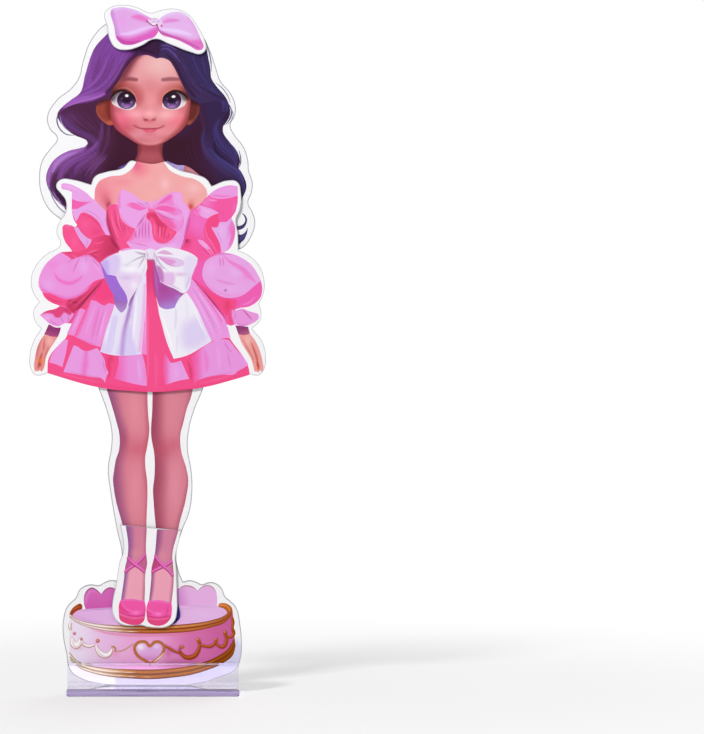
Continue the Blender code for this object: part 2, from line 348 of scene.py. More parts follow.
# Neck, ears and the straps on the shoulders
NECK = Area("-4.3,150.5! -4.3,147.6 -4.4,145.8 -5,144.4 -10,141! 8,141! 4.6,142.8 3.1,144.2 2.9,150.5!",
    "AC505A", patch("-4.8,151 3.6,151 2.8,147.4 -0.8,146.6 -4.4,147.4", "98404A", 0.8, 2),
    brush("-4.7,150 -4.5,146.6 -5.3,144", [3.4, 3.6, 2.4], "682630", 0.85),
    brush("3.1,150 2.8,146.6 3.5,144", [3.2, 3.4, 2.2], "6E2C32"),
    blob(-0.7, 144.8, 1.8, 1.4, "B65668", 0.6))
STRAP = Area("3.8,144.1! 7,142.9 8.6,142.8 8.6,140 4,140!", "B4A2DC",
    brush("5.4,143 5.8,141.6", 0.6, "8F7CC4", 0.7), brush("6.8,142.8 7.1,141.4", 0.7, "DCD0F2", 0.7),
    blob(4.6, 143.6, 0.6, 0.4, "8A78BC", 0.7))
SHOULDER = Area("8.6,142.9! 10,142.3 12.8,140.2! 8,139!", "C07482",
    brush("8.6,142.2 10.4,141.4 12,140.4", 0.8, "DE9AA0", 0.7))
FAR_STRAP = Area("-9.6,142.3! -8.2,142.9 -6.8,143.6 -7,141.4 -10,141!", "4A3A78",
    blob(-8.4, 142.4, 0.8, 0.5, "7A68B8", 0.7))
LEFT_EAR = Area("-11.2,160.6 -12.8,161 -14.6,160.4 -15.6,159.1 -14.9,156.1 -13.7,154.9 -12.4,154"
    " -11.2,153.9 -10.2,156", "8C3C34", brush("-15.3,159 -15.3,157.2 -14.3,155.7 -12.8,154.5 -11.2,154.2",
    [0.5, 1, 1.4, 1.6, 1.6], "AC5244", 0.75),
    brush("-12,161.4 -12.4,158.6 -11.8,155.6", [2.2, 2.8, 1.6], "732820"),
    blob(-14, 158.6, 1, 1.8, "A04A3C", 0.5), blob(-11.8, 154.6, 1.1, 0.7, "C8624E", 0.7),
    brush("-16.4,160.4 -14,161 -11.6,162.2", [3.4, 3.6, 3.6], "3C1822", 0.9), grain=0.25)
RIGHT_EAR = Area("9.4,160.6 12.4,160 12.9,158.8 11.2,154.9 10.2,154 9.1,153.8 8.6,157", "642A28",
    brush("12.4,159.4 12.3,157.4 11.3,155.6 9.8,154.3", [0.4, 0.9, 1.1, 1.2], "80403A"),
    blob(10, 154.6, 0.9, 0.6, "B4604C", 0.6),
    brush("9.2,161.6 11,160.6 13.4,160", [3, 3.2, 3], "34151D", 0.9), grain=0.25)
NECK_AND_EARS = [NECK, STRAP, SHOULDER, FAR_STRAP, LEFT_EAR, RIGHT_EAR]


def face():
    """The face on its skin: shading, lids, cheeks, chin, nose, mouth and brows."""
    hairline = "-3,173.6 -5,172.4 -6.8,170 -8.4,167.4 -10,165 -11.8,162.4"
    shadows = [
        brush(hairline, [3, 6, 7, 7, 6, 4], "B25A66", 0.6),
        brush(hairline, [1.6, 3.4, 4, 4.4, 4.6, 4], "6E2E3C", 0.85),
        brush("4.2,172.9 6.4,169.6 8.4,165.6 10.4,161.6", [0.6, 1.8, 3, 3.6], "9A4A50", 0.75),
        brush("-3.6,174.2 0.4,173 4,172.9", [0.4, 1, 0.6], "C07A78", 0.6)]
    lids = [
        patch("-11.8,166 -8,166 -5,165 -3.2,160.6 -4.6,159.2 -12,159.2", "B6585A", 0.85, 3),
        blob(-9.6, 164.5, 2, 1.1, "84382F", 0.7, 20),
        blob(-11.2, 163, 1.1, 1.6, "4A1C20", 0.85),
        patch("1.8,160.4 2.4,163 4.4,165 7.4,165.4 10,164 10.6,160.2 4,159.2", "C4625F", 0.8, 3),
        blob(8.4, 163.6, 1.6, 0.9, "80382E", 0.7, -30),
        blob(9.7, 162.1, 0.9, 1.2, "4A1C1E", 0.85),
        blob(-3.8, 161.8, 1.4, 2.4, "C45C66", 0.35),
        blob(2, 161.8, 1.1, 2.2, "D4767A", 0.5),
        brush("-9.6,163.9 -8,164.1 -6.4,163.6 -5.1,162.2 -4.3,160.4", [0.2, 0.5, 0.6, 0.6, 0.2], "E2907C",
            0.75),
        brush("8,163.6 6.4,163.9 3.5,162.8 2.6,161.1", [0.2, 0.5, 0.6, 0.6, 0.2], "E89884", 0.75),
        brush("-12.4,161.3 -9.4,163.5 -7.6,163.6 -6.1,162.8 -5.2,161.6", [1.2, 1.8, 1.5, 1.3, 1, 0.3],
            "48201C"),
        brush("10.3,161 8.8,162.5 5.5,163.4 4.1,162.7 3.1,161.6", [1.1, 1.7, 1.4, 1.2, 1, 0.3], "4C2420"),
        brush("-11.4,159.9 -9.8,158.6 -7,157.8 -5,158.2", [0.4, 0.9, 0.9, 0.4], "EFA4AC", 0.5),
        brush("8.8,159.4 7.2,158.2 4.6,157.8 2.8,158.4", [0.4, 0.9, 0.9, 0.4], "EFA8AC", 0.45)]
    cheeks = [
        blob(-8.6, 155.4, 3.6, 2.6, "EC6884", 0.85),
        blob(7, 155.2, 3.2, 2.6, "F07486"),
        blob(-10, 158.2, 1.6, 1.2, "C45870", 0.7),
        blob(8.4, 158, 1.3, 1.1, "D06478", 0.6),
        blob(-4.8, 157, 2.8, 1.3, "FBA6B6", 0.85, -4),
        blob(3.6, 156.8, 2.9, 1.5, "F8B2BA", 0.9, 4),
        brush("-11.8,160 -11.5,156.4 -10,153 -6.4,150.1 -2.2,148.2 -0.6,148.1", [3, 4, 4.4, 3.4, 1.7, 0.5],
            "94323E"),
        brush("10.4,160 9.8,156.4 8.3,153 4.8,150.2 1.2,148.3 -0.6,148.1", [2.8, 3.8, 4.2, 3.4, 1.7, 0.5],
            "8C3437")]
    chin = [
        blob(-7.4, 153, 2.6, 1.6, "C04C62", 0.6),
        blob(-2.6, 150, 3, 1, "C2606E", 0.5),
        blob(3.4, 150.4, 2, 0.9, "BE5A60", 0.45),
        blob(-3.6, 151.4, 1.6, 0.8, "DD8CA2", 0.6),
        blob(2.6, 152, 2, 1.1, "EC90A0", 0.6),
        blob(-0.8, 150.5, 2.2, 0.8, "DE8492", 0.8),
        brush("-5,149.3 -2.2,148.3 -0.6,148.2 1.2,148.4 3.6,149.5", [0.6, 1, 1.2, 1, 0.6], "B04C56", 0.75)]
    nose = [
        blob(-0.6, 160.2, 1.4, 2.6, "EC979C"),
        blob(-0.9, 157.1, 1.4, 1, "FCAEB4", 0.9),
        brush("-2.9,156.3 -2.3,155.5 0.4,155.5 0.9,156.2", [0.3, 0.8, 0.9, 0.8, 0.3], "C45660", 0.7),
        blob(-2, 155.35, 0.6, 0.36, "963440", 0.95),
        blob(0.2, 155.4, 0.55, 0.32, "A03E48", 0.9),
        blob(-0.9, 154.6, 1.2, 0.45, "DE7489", 0.7)]
    mouth = [
        patch("-3,152.9 -0.9,152.8 1.1,152.9 0.4,152.1 -2.2,152.1", "DA5470", 0.95, 0.6),
        blob(-0.7, 152.3, 0.8, 0.24, "F07C92", 0.75),
        brush("-2.6,151.5 -0.8,151.2 1,151.5", [0.3, 0.8, 0.3], "C4607A", 0.4),
        brush("-5.3,153.9 -4.3,153.3 -0.9,152.95 2.1,153.25 3.1,153.85",
            [0.5, 0.7, 0.7, 0.75, 0.7, 0.7, 0.5], "A4344A", 0.9),
        blob(-4.7, 153.6, 0.6, 0.4, "BC5664", 0.5),
        blob(2.7, 153.55, 0.5, 0.4, "C6626C", 0.45)]
    brows = [
        brush("-8.6,166.2 -7.2,166.6 -4.6,166.4", [1, 1.5, 1.6, 1.4], "86424C", 0.8, 0.7),
        brush("2.7,166.4 5.2,166.6 7.2,166.5", [1.4, 1.7, 1.6, 1.2], "92505A", 0.8, 0.7)]
    forehead = [
        patch("-5.4,173.2 -1,174 4,173.4 7.6,168.6 6.4,166 0,165 -5.6,166.2 -7.4,169.4", "E59EA2", 0.9,
            4.5),
        blob(1.8, 170.6, 4.2, 3.2, "EFBDBC", 0.85),
        blob(-0.8, 164.4, 2.6, 2.4, "DA858A", 0.75)]
    return [
        Area("-11.6,161 -10.4,153.2 -6.4,150.1 -4.4,148.9 -2.2,148.3 -0.6,148.2 1.2,148.4 3,149.1"
            " 4.8,150.2 8.8,153.6 10.2,158.6 9.4,166 7,171.4 -3,174.6 -7,172 -10,167", "E08A90", *forehead,
            *shadows, *lids, *cheeks, *chin, *nose, *mouth, *brows, grain=0.2)]


# Half the iris across and up, in millimetres
IRIS = (2.6, 2.45)


def ellipse(x, h, across, up):
    """A closed round line."""
    turn = np.linspace(0, 2 * np.pi, 40, endpoint=False)
    return np.stack([x + across * np.cos(turn), h + up * np.sin(turn)], 1)


def eye(white, shades, middle, lash, spark):
    """One eye: the white, the iris with its highlight, and the lashes."""
    x, h = middle
    across, up = IRIS
    low = h - up
    ring = ellipse(x, h, across, up)
    glow = (f"{x - across},{h - 0.4} {x - 1.7},{low + 0.4} {x},{low - 0.2} {x + 1.7},{low + 0.4}"
        f" {x + across},{h - 0.4} {x},{h - 1}")
    return [
        Area(white, "DCD1D8", *shades, brush(lash, [2.2, 3.8, 4.2, 3.8, 2.8, 1], "4A3844", 0.9),
            grain=0.15),
        Area(ring, "2A1530", patch(glow, "5E3A7C", 0.95, 1.8), blob(x, low + 0.8, 1.7, 0.8, "9A72B6", 0.9),
            blob(x, low + 0.2, 1.4, 0.35, "C69ABC"), blob(x - 1.6, h - 0.5, 0.5, 0.7, "5A3B6C"),
            blob(x + 1.6, h - 0.5, 0.5, 0.7, "6E4C74"), blob(x, h - 0.1, 1, 0.7, "1E0E22", 0.9),
            blob(x, h + 1.5, 2.2, 1, "22101C", 0.85),
            *[blob(x + dx, h + dh, 0.24, 0.2, "C8B6DC", 0.75) for dx, dh in ((-1, -1), (1.3, -0.6))],
            blob(x - 1.3, h + 0.5, 0.32, 0.2, "7A6484"),
            blob(spark[0], spark[1], 0.66, 0.5, "7A667E", 0.7),
            brush(np.concatenate([ring, ring[:1]]), [0.9, 0.9], "2A1428", 0.6), grain=0.13),
        Area(ellipse(*spark), "FBF7FA", grain=0.15),
        Area(thin(lash, [0.2, 0.5, 0.55, 0.45, 0.3, 0.08]), "2A1212", grain=0.2)]


def eyes():
    """The two eyes, each with its own white and lash line."""
    left = eye("-11.5,160.6 -11.3,161.5 -9.5,163 -8.4,163.3 -5,160.9 -4.7,158.9 -5.4,158.4 -9.8,158.9"
        " -11.3,160", [ramp((-9, 163), (-9, 158.4), "E6D6D9", 0.8),
        blob(-10.9, 161.1, 0.9, 0.9, "7E6A78", 0.85), blob(-5, 158.8, 0.6, 0.5, "EAC0C4", 0.7)],
        (-7.3, 160.75), "-11.9,160.7 -11,162.2 -9.4,163.3 -6.1,162.5 -5.2,161.4", (-7.2, 162, 0.46, 0.36))
    right = eye("9.3,160.5 9.1,161.4 5.2,163.1 2.6,159.9 2.5,159.1 4.6,158.15 7.6,158.7 8.6,159.3 9.1,160",
        [ramp((6, 163), (6, 158.4), "ECDEDF", 0.8), blob(8.6, 161.2, 0.8, 0.8, "927C86", 0.85),
        blob(2.8, 159, 0.6, 0.5, "E8B8BC", 0.7)], (5.18, 160.7),
        "9.8,160.6 8.8,162.1 5.5,163.2 4.1,162.5 3.1,161.4", (5.65, 161.75, 0.5, 0.34))
    return left + right


# The locks that frame the face
FRONT_HAIR_LEFT = Area("-12.3,179.3! -15.8,175.5 -18.6,168 -20.2,162.6 -22.6,160.8 -25,158.8 -26.3,156.6!"
    " -24,158.6 -16.2,160.6 -13.9,161.6 -10.2,165 -7.3,169.8 -4.3,172.8 -1.4,173.1 0.9,172.2! 1.2,174"
    " 0.8,176 0.5,182! -7,182", "743A89",
    patch("-19,164 -17,172 -12.6,180 -8,177 -10,172 -13,167", "80459A", 0.8, 3),
    patch("-14,176 -11,179 -7,176 -9,171 -11.4,169 -13,171", "80459E", 0.6, 3),
    brush("-16.4,174 -17.8,170 -18.8,165.6", [0.6, 2, 0.8], "9358AE", 0.7),
    brush("-14.6,172 -15.6,169 -16.6,166.4", [0.8, 3.2, 1], "662E6E", 0.75),
    brush("-10.6,172.6 -12,169.6 -14,166.6 -16.6,164.2", [0.5, 2, 2, 0.8], "682D70", 0.7),
    brush("-12.6,172.6 -13.6,169.4 -15,166.8 -17.4,164.6 -19.4,163.4", [0.3, 1, 1.3, 1.2, 0.6], "9A5CB4",
    0.75), brush("-7,172.4 -9.4,168.4 -12,165 -15.6,162.8 -19.4,161.6", [0.6, 2, 2.6, 2.8, 1.6], "7C4292"),
    brush("-7.8,173.4 -10.4,168.8 -13.2,165.4 -17,163.2 -21,161.6 -24.4,159", [0.2, 0.7, 1, 1.1, 1.1, 0.7],
    "9A5EB6", 0.65),
    brush("-11.8,163.4 -15,161.9 -22,160.4 -24.8,158.6", [0.8, 1.8, 2.4, 2.4, 1.2], "A05ABC", 0.9),
    brush("-14,162 -17.6,160.9 -21,160.2 -24,158.7", [0.3, 0.8, 1, 0.6], "B87AD0", 0.65),
    brush("-11,163.8 -13.4,162 -16.4,160.7 -19.4,160.1 -22.6,159.2", [0.4, 0.7, 0.8, 0.7, 0.4], "5C2E66",
    0.5), brush("-4.2,174 -6.2,171.4 -10.2,165 -12.8,162.8", [1.4, 3.4, 4.2, 3.8, 1.4], "3C1A36", 0.9),
    brush("-6.6,174 -10.4,167 -12.4,164.2", [0.2, 0.8, 0.8, 0.3], "8A56A0", 0.65),
    blob(-25.2, 157.8, 1.4, 1, "5A2E66"),
    patch("-8,176.4 -5.4,173.8 -3,173 -1,173 1.2,172.4 1.4,178 -2,178.6", "361A3A", 0.95, 2.4),
    brush("-4.8,174.6 -2.8,174.6 -1,174.1 0.8,173.1", [0.3, 1.1, 1.1, 0.5], "2C1228"),
    *strands(["-12.6,178.8 -15.4,174.6 -17,170 -18.4,165.4 -20,162.4",
    "-9.6,177 -12,172.4 -14,168 -16.6,164.8 -20,162.2", "-6.8,175.4 -8.8,171 -11,167 -14,164 -18,161.8"],
    44, 0.75, ["9E64BA", "552662", "884AA2", "62307A"], 0.45, 11),
    *strands(["-13,163.6 -17,162.4 -21,161.2 -24.6,158.8", "-12.6,162.4 -16.4,161 -20.4,160 -24.4,158.4"],
    8, 0.6, ["C08AD8", "7A3C90"], 0.45, 5), grain=HAIR_GRAIN)
FRONT_HAIR_RIGHT = Area("0.5,182! 0.8,176 1.2,174 0.9,172.2! 2.2,172.4 4.6,171.5 5.6,170.1 8.6,164 9.8,162"
    " 11.4,160.6 13,159.8! 18,160.6 20.6,160.4! 20.2,161.2 17,165.2 16,166.9 15.8,169.2 15.3,172"
    " 14.7,174.6 13.1,177.6 8,181", "3C2A54",
    patch("9,175 15,174 15.6,168 20,162 18,161 13,165 10,170", "372A56", 0.85, 3),
    brush("5,174.6 7.4,171.8 9.6,167.8 12,164.2 15.2,161.6", [0.6, 2.4, 3, 2.8, 1.2], "422650"),
    brush("3.4,173.6 5.4,171.8 7.2,168.6 9.2,164.8 11.4,161.8", [0.4, 1.4, 1.8, 1.8, 1.2], "351730", 0.85),
    brush("6,173.4 8.4,170 10.6,166 13.4,162.8", [0.3, 1.2, 1.2, 0.4], "543C70", 0.55),
    brush("2,174.6 3.4,175 5.4,173.8 7.4,171.2", [0.3, 1.1, 1.2, 0.4], "64479A", 0.85),
    brush("2.2,175.8 4.4,175.8 6.4,174.6", [0.3, 1.2, 0.4], "7658B4"),
    brush("1.2,179 1.2,176 1.1,173", [2.4, 3.4, 2], "331A38", 0.95),
    brush("10.6,173.8 11.6,170.6 13.6,167.2 16.6,163.8", [0.4, 1.6, 1.8, 0.8], "443C7E", 0.7),
    brush("13.4,173 14,170 15,167.2", [0.4, 1.5, 0.5], "423C7A", 0.55),
    brush("11.6,165.6 14.2,163.6 20,161", [0.4, 1.2, 1.2, 0.5], "271A3A", 0.65),
    brush("13.6,165.4 16,163.6 18.6,162", [0.3, 0.9, 0.3], "524A86", 0.6),
    *strands(["3.6,173.4 6,171 8,167.4 10.4,163.8 13.4,161.2",
    "8,174.6 9.6,171 11.4,167.4 14,164 17.6,161.6",
    "13.4,174.6 14,171.4 14.8,168.4 16.4,165.6 19.4,161.8"], 34, 0.7,
    ["524682", "22122C", "3E3066", "2B1B3C"], 0.48, 13), grain=HAIR_GRAIN)
HAIR_FRONT = [FRONT_HAIR_LEFT, FRONT_HAIR_RIGHT]


# Both legs down to the doll's own indigo shoes, which the clip-on shoes cover
LEFT_LEG = Area("-13.6,92! -12.7,81.3 -11.8,78.4 -10,72.2 -9.35,69.6 -9.4,64.4 -10.2,62 -10.7,59 -11,56.6"
    " -10.7,53.6 -7.4,38.3 -7.4,35 -8,30 -8.8,23! -2.2,23! -2.1,30.8 -1.8,36 -1.8,44 -1.7,57 -2.1,60"
    " -2.1,63 -1.6,65.5 -1,70.4 -1.3,74 -1.5,92!", "D67C8F", blob(-5, 76, 2.4, 8, "E38C9A", 0.9, 4),
    blob(-4.8, 54, 2.2, 9, "E08A9A", 0.9),
    brush("-13.4,85 -11.4,75.6 -9.8,69.6 -9.7,66 -10.9,61 -10.4,50 -9,44.6 -7.8,38 -8,30",
    [7, 8, 7, 7, 8, 9, 8, 7, 6, 5], "8E4A76", 0.85),
    brush("-1.6,86 -1.2,74 -1,70 -1.8,64 -1.7,58 -1.2,53 -1.4,46 -1.6,38",
    [3.6, 3, 3, 3.4, 3.4, 3, 3, 2.4], "BC5A6A", 0.75), blob(-4.4, 65, 4, 3, "CA566A", 0.5),
    # The brush along the top here, under the dress hem, is painted shadow of the dress
    blob(-8, 67.6, 1.2, 3, "A04866", 0.5), brush("-13.4,82 -7,81.2 -1.4,81", [1.6, 1.6], "7E3450"),
    blob(-4.8, 27, 3, 5, "EDA2B5", 0.95), grain=0.4)
RIGHT_LEG = Area("-0.2,92! -0.2,76 -0.5,68.6 0.4,63 0.35,57 0,54 0.2,50 0.9,38 0,31 -0.8,23! 5.4,23!"
    " 5.8,30 5.5,35.4 6.1,39 7.4,45 9,51 9.65,57 9.15,59.6 7.7,64.6 7.6,69.4 8.3,72 9.3,76 10.4,79"
    " 11.4,92!", "D37B8D", blob(5.6, 76, 2.4, 8, "DB8696", 0.85, -4),
    blob(6, 55, 2.2, 9, "E08C9E", 0.9),
    brush("0.2,86 0,74 -0.2,68.6 0.3,63 0.4,58 0,52 0.7,40 -0.2,30",
    [8, 7.4, 8, 9.4, 9.6, 9.6, 8.6, 7, 5], "98405A", 0.85),
    brush("11.4,84 9.8,76 7.8,67 9,62 9.8,57 9,51 7.4,45 6.4,39", [3.6, 3, 3, 2.4, 2, 2, 2.8, 3, 2.4],
    "B25C72", 0.75), blob(2.8, 65, 3.6, 3, "C04E66", 0.5), blob(6, 66.4, 1.6, 1.8, "CC6078", 0.5),
    # The first brush here, along the top under the dress hem, is painted shadow of the dress
    brush("-0.4,81 5,81.2 11.6,82", [1.6, 1.6], "7E3450"), blob(2.4, 27, 3, 5, "EBA1B5", 0.95),
    grain=0.4)
OWN_SHOES = [
    Area("-9.2,23.6 -9.6,20.4 -9.3,18 -7.2,16.9 -2.7,17.1 -2.1,19.6 -2,22.2 -2.2,23.3 -5.6,23.9",
        "4A3894", brush("-8.6,22.4 -5.6,20.6 -2.6,21.6", 1.8, "6A58B8", 0.7),
        brush("-9.2,18.8 -6,17.4 -2.6,18", 1.6, "2A1C60")),
    Area("-1.4,23.3 -1.9,20.6 -1.4,17.6 1,16.2 4,16.3 6,17 7.3,18.3 7,22.1 6.5,23.8 2,23.6", "2E2474",
        brush("-0.6,22.4 2,20.6 4.8,21.4", 1.8, "6252B0", 0.7),
        brush("-1.4,18.6 2,17 6,17.6", 1.6, "241658"),
        brush("7.2,21.6 7.3,19.6 6.9,18.4", 0.6, "5F48A4"))]
LEGS = [LEFT_LEG, RIGHT_LEG] + OWN_SHOES


def between(upper, lower, share, count=60):
    """The line that runs part of the way from one line to another."""
    return even(upper, count) * (1 - share) + even(lower, count) * share


def gold_band(upper, lower, inks):
    """A moulded gold band that turns to cream at its left end, with its fine ridges."""
    gold, ridge_inks, far_gold, cream, cream_inks = inks
    edge = np.concatenate([between(upper, lower, 0), between(upper, lower, 1)[::-1]])
    ridges = zip((0.04, 0.27, 0.5, 0.72, 0.97), (0.5, 0.9, 0.5, 0.75, 0.6), ridge_inks)
    grooves = zip((0.06, 0.34, 0.55, 0.78, 0.95), cream_inks)
    return Area(edge, gold,
        *[brush(between(upper, lower, share), [wide, wide], ink, 0.9) for share, wide, ink in ridges],
        ramp((10, 0), (21, 0), far_gold, 0.5), ramp((-4, 0), (-16, 0), cream, 0.95),
        *[brush(between(upper, lower, share)[:32], [0.42, 0.42, 0], ink, 0.9) for share, ink in grooves],
        grain=0.22)


# Edges and inks of the stand's two bands. The lower one is printed deeper, as the holder pales it
RIM = ("-22.8,19.6 -21,18.3 -17.7,17.3 -14.3,16.8 -9.3,16.5 -2.7,16.4 4,16.5 10.7,17 15.7,17.8 19.7,19.2"
    " 21.7,21",
    "-23,18.8 -21,17.2 -17.7,15.9 -14.3,15.1 -9.3,14.5 -2.7,14.2 4,14.3 10.7,14.8 15.7,15.8 19.7,17.2"
    " 21.8,19.2")
RIM_INKS = ("AE5826", ("7A3414", "DB9A5C", "70290C", "C67A3C", "84361C"), "904018", "F2E6E2",
    ("8A5A48", "FFFCF8", "9A6C58", "FDF6F2", "84503E"))
BAND = ("-23,9.2 -21,6.9 -17.7,5.6 -12.7,4.8 -7.7,4.5 0,4.4 6,4.8 12,5.8 17,7.6 20.6,10 22.4,13.2",
    "-22.8,6.9 -19.3,4.3 -16,3.2 -12.7,2.5 -6,1.9 0,1.7 5,2.1 10,2.8 14,3.9 18.7,5.8 22,8.3 22.7,10.8")
BAND_INKS = ("9C4A04", ("5E2400", "C87C20", "541C00", "C07A1C", "441800"), "7C3400", "E6D4BC",
    ("64401C", "FAF2E4", "704A1C", "F6EAD4", "5C3410"))


def pedestal_back():
    """The scalloped back, the top of the stand and the far ends of its rim."""
    crest = [("-19,23 -18.6,25.1 -17.6,26.4 -16.8,26.7 -15.6,26.2 -14.2,25", "A0567C"),
        ("-14.2,25 -13.2,26.1 -12.2,26.7 -11.2,26.7 -10,26.2", "9C5478"),
        ("7,26.3 8,27.1 9.6,27.3 11.2,26.8 12.2,25.9", "B58C90"),
        ("12.2,25.9 13.4,26.9 14.8,27.4 16.4,26.9 17.5,25.2", "BE9AA8")]
    return [
        Area("-18.4,20.4! -19,23 -17.6,26.3 -16.8,26.6 -14.2,25! -12.2,26.6 -11.2,26.6 -8.4,25! -6,26.6"
            " -3,25! -2,20.4!", "D266B4", ramp((-14, 25), (-14, 20.8), "CC56A8", 0.7),
            brush("-18.4,22 -18.2,24.6 -16.8,26 -15.2,25.2", 2, "DA7CC6")),
        Area("-2,20.4! -2,25! 1,26.6 4,25! 6,26.2 9.6,27.2 11.2,26.7 12.2,25.8! 13.4,26.8 14.8,27.3"
            " 16.4,26.8 17.4,25.2 17.6,21.4!", "E5AFE1", ramp((11, 24), (7, 23), "D48CCE", 0.9)),
        *[Area(thin(path, [0.1, 0.36, 0.36, 0.1]), ink) for path, ink in crest],
        Area("-22.5,19.8 -21.2,20.6 -18.4,20.9 0,21.7 8,21.9 20.3,20.8 21.4,20 19,18.2 14,16.6 7,15.8"
            " -8,15.6 -15,16.2 -20,17.6", "E4B5E3", ramp((-8, 19), (-20, 19), "E0AEDF", 0.8),
            brush("-20.6,20.4 -14,21 -8,21.3", 0.9, "B878BC", 0.6),
            brush("8,21.7 13,21.7 18,21.4", 0.8, "CF9AD2", 0.6), blob(14, 19.4, 4, 1, "E6BCEA"),
            brush("-22,19.4 -18,17.8 -12,16.9", 1, "C893CC", 0.5),
            brush("7.4,18 7.6,20.4 7.2,22", 1.4, "B98AC6", 0.6)),
        Area("-23,19.4! -22.4,20.8 -21.4,21.8 -19.8,22.4 -19.4,21.8 -19.5,20.9! -20.9,20.4 -21.8,19.7"
            " -22.4,19", "9C3E1C", brush("-22.4,20.4 -21.2,21.3 -19.9,21.7", 0.8, "CC6A30", 0.75),
            grain=0.25),
        Area("18,21.6 18.1,22.3 19.3,22.6 21.7,21.2 21.9,20! 20.6,19.4 20.2,20.4 19.2,21.2", "B2601F",
            brush("18.4,22 19.6,22 20.8,21.2 21.2,20.2", [1, 1, 0.8, 0.6], "F08E50", 0.9),
            brush("20.3,19.8 19.8,20.8 18.6,21.4", 0.4, "7A3A14", 0.7), grain=0.25)]


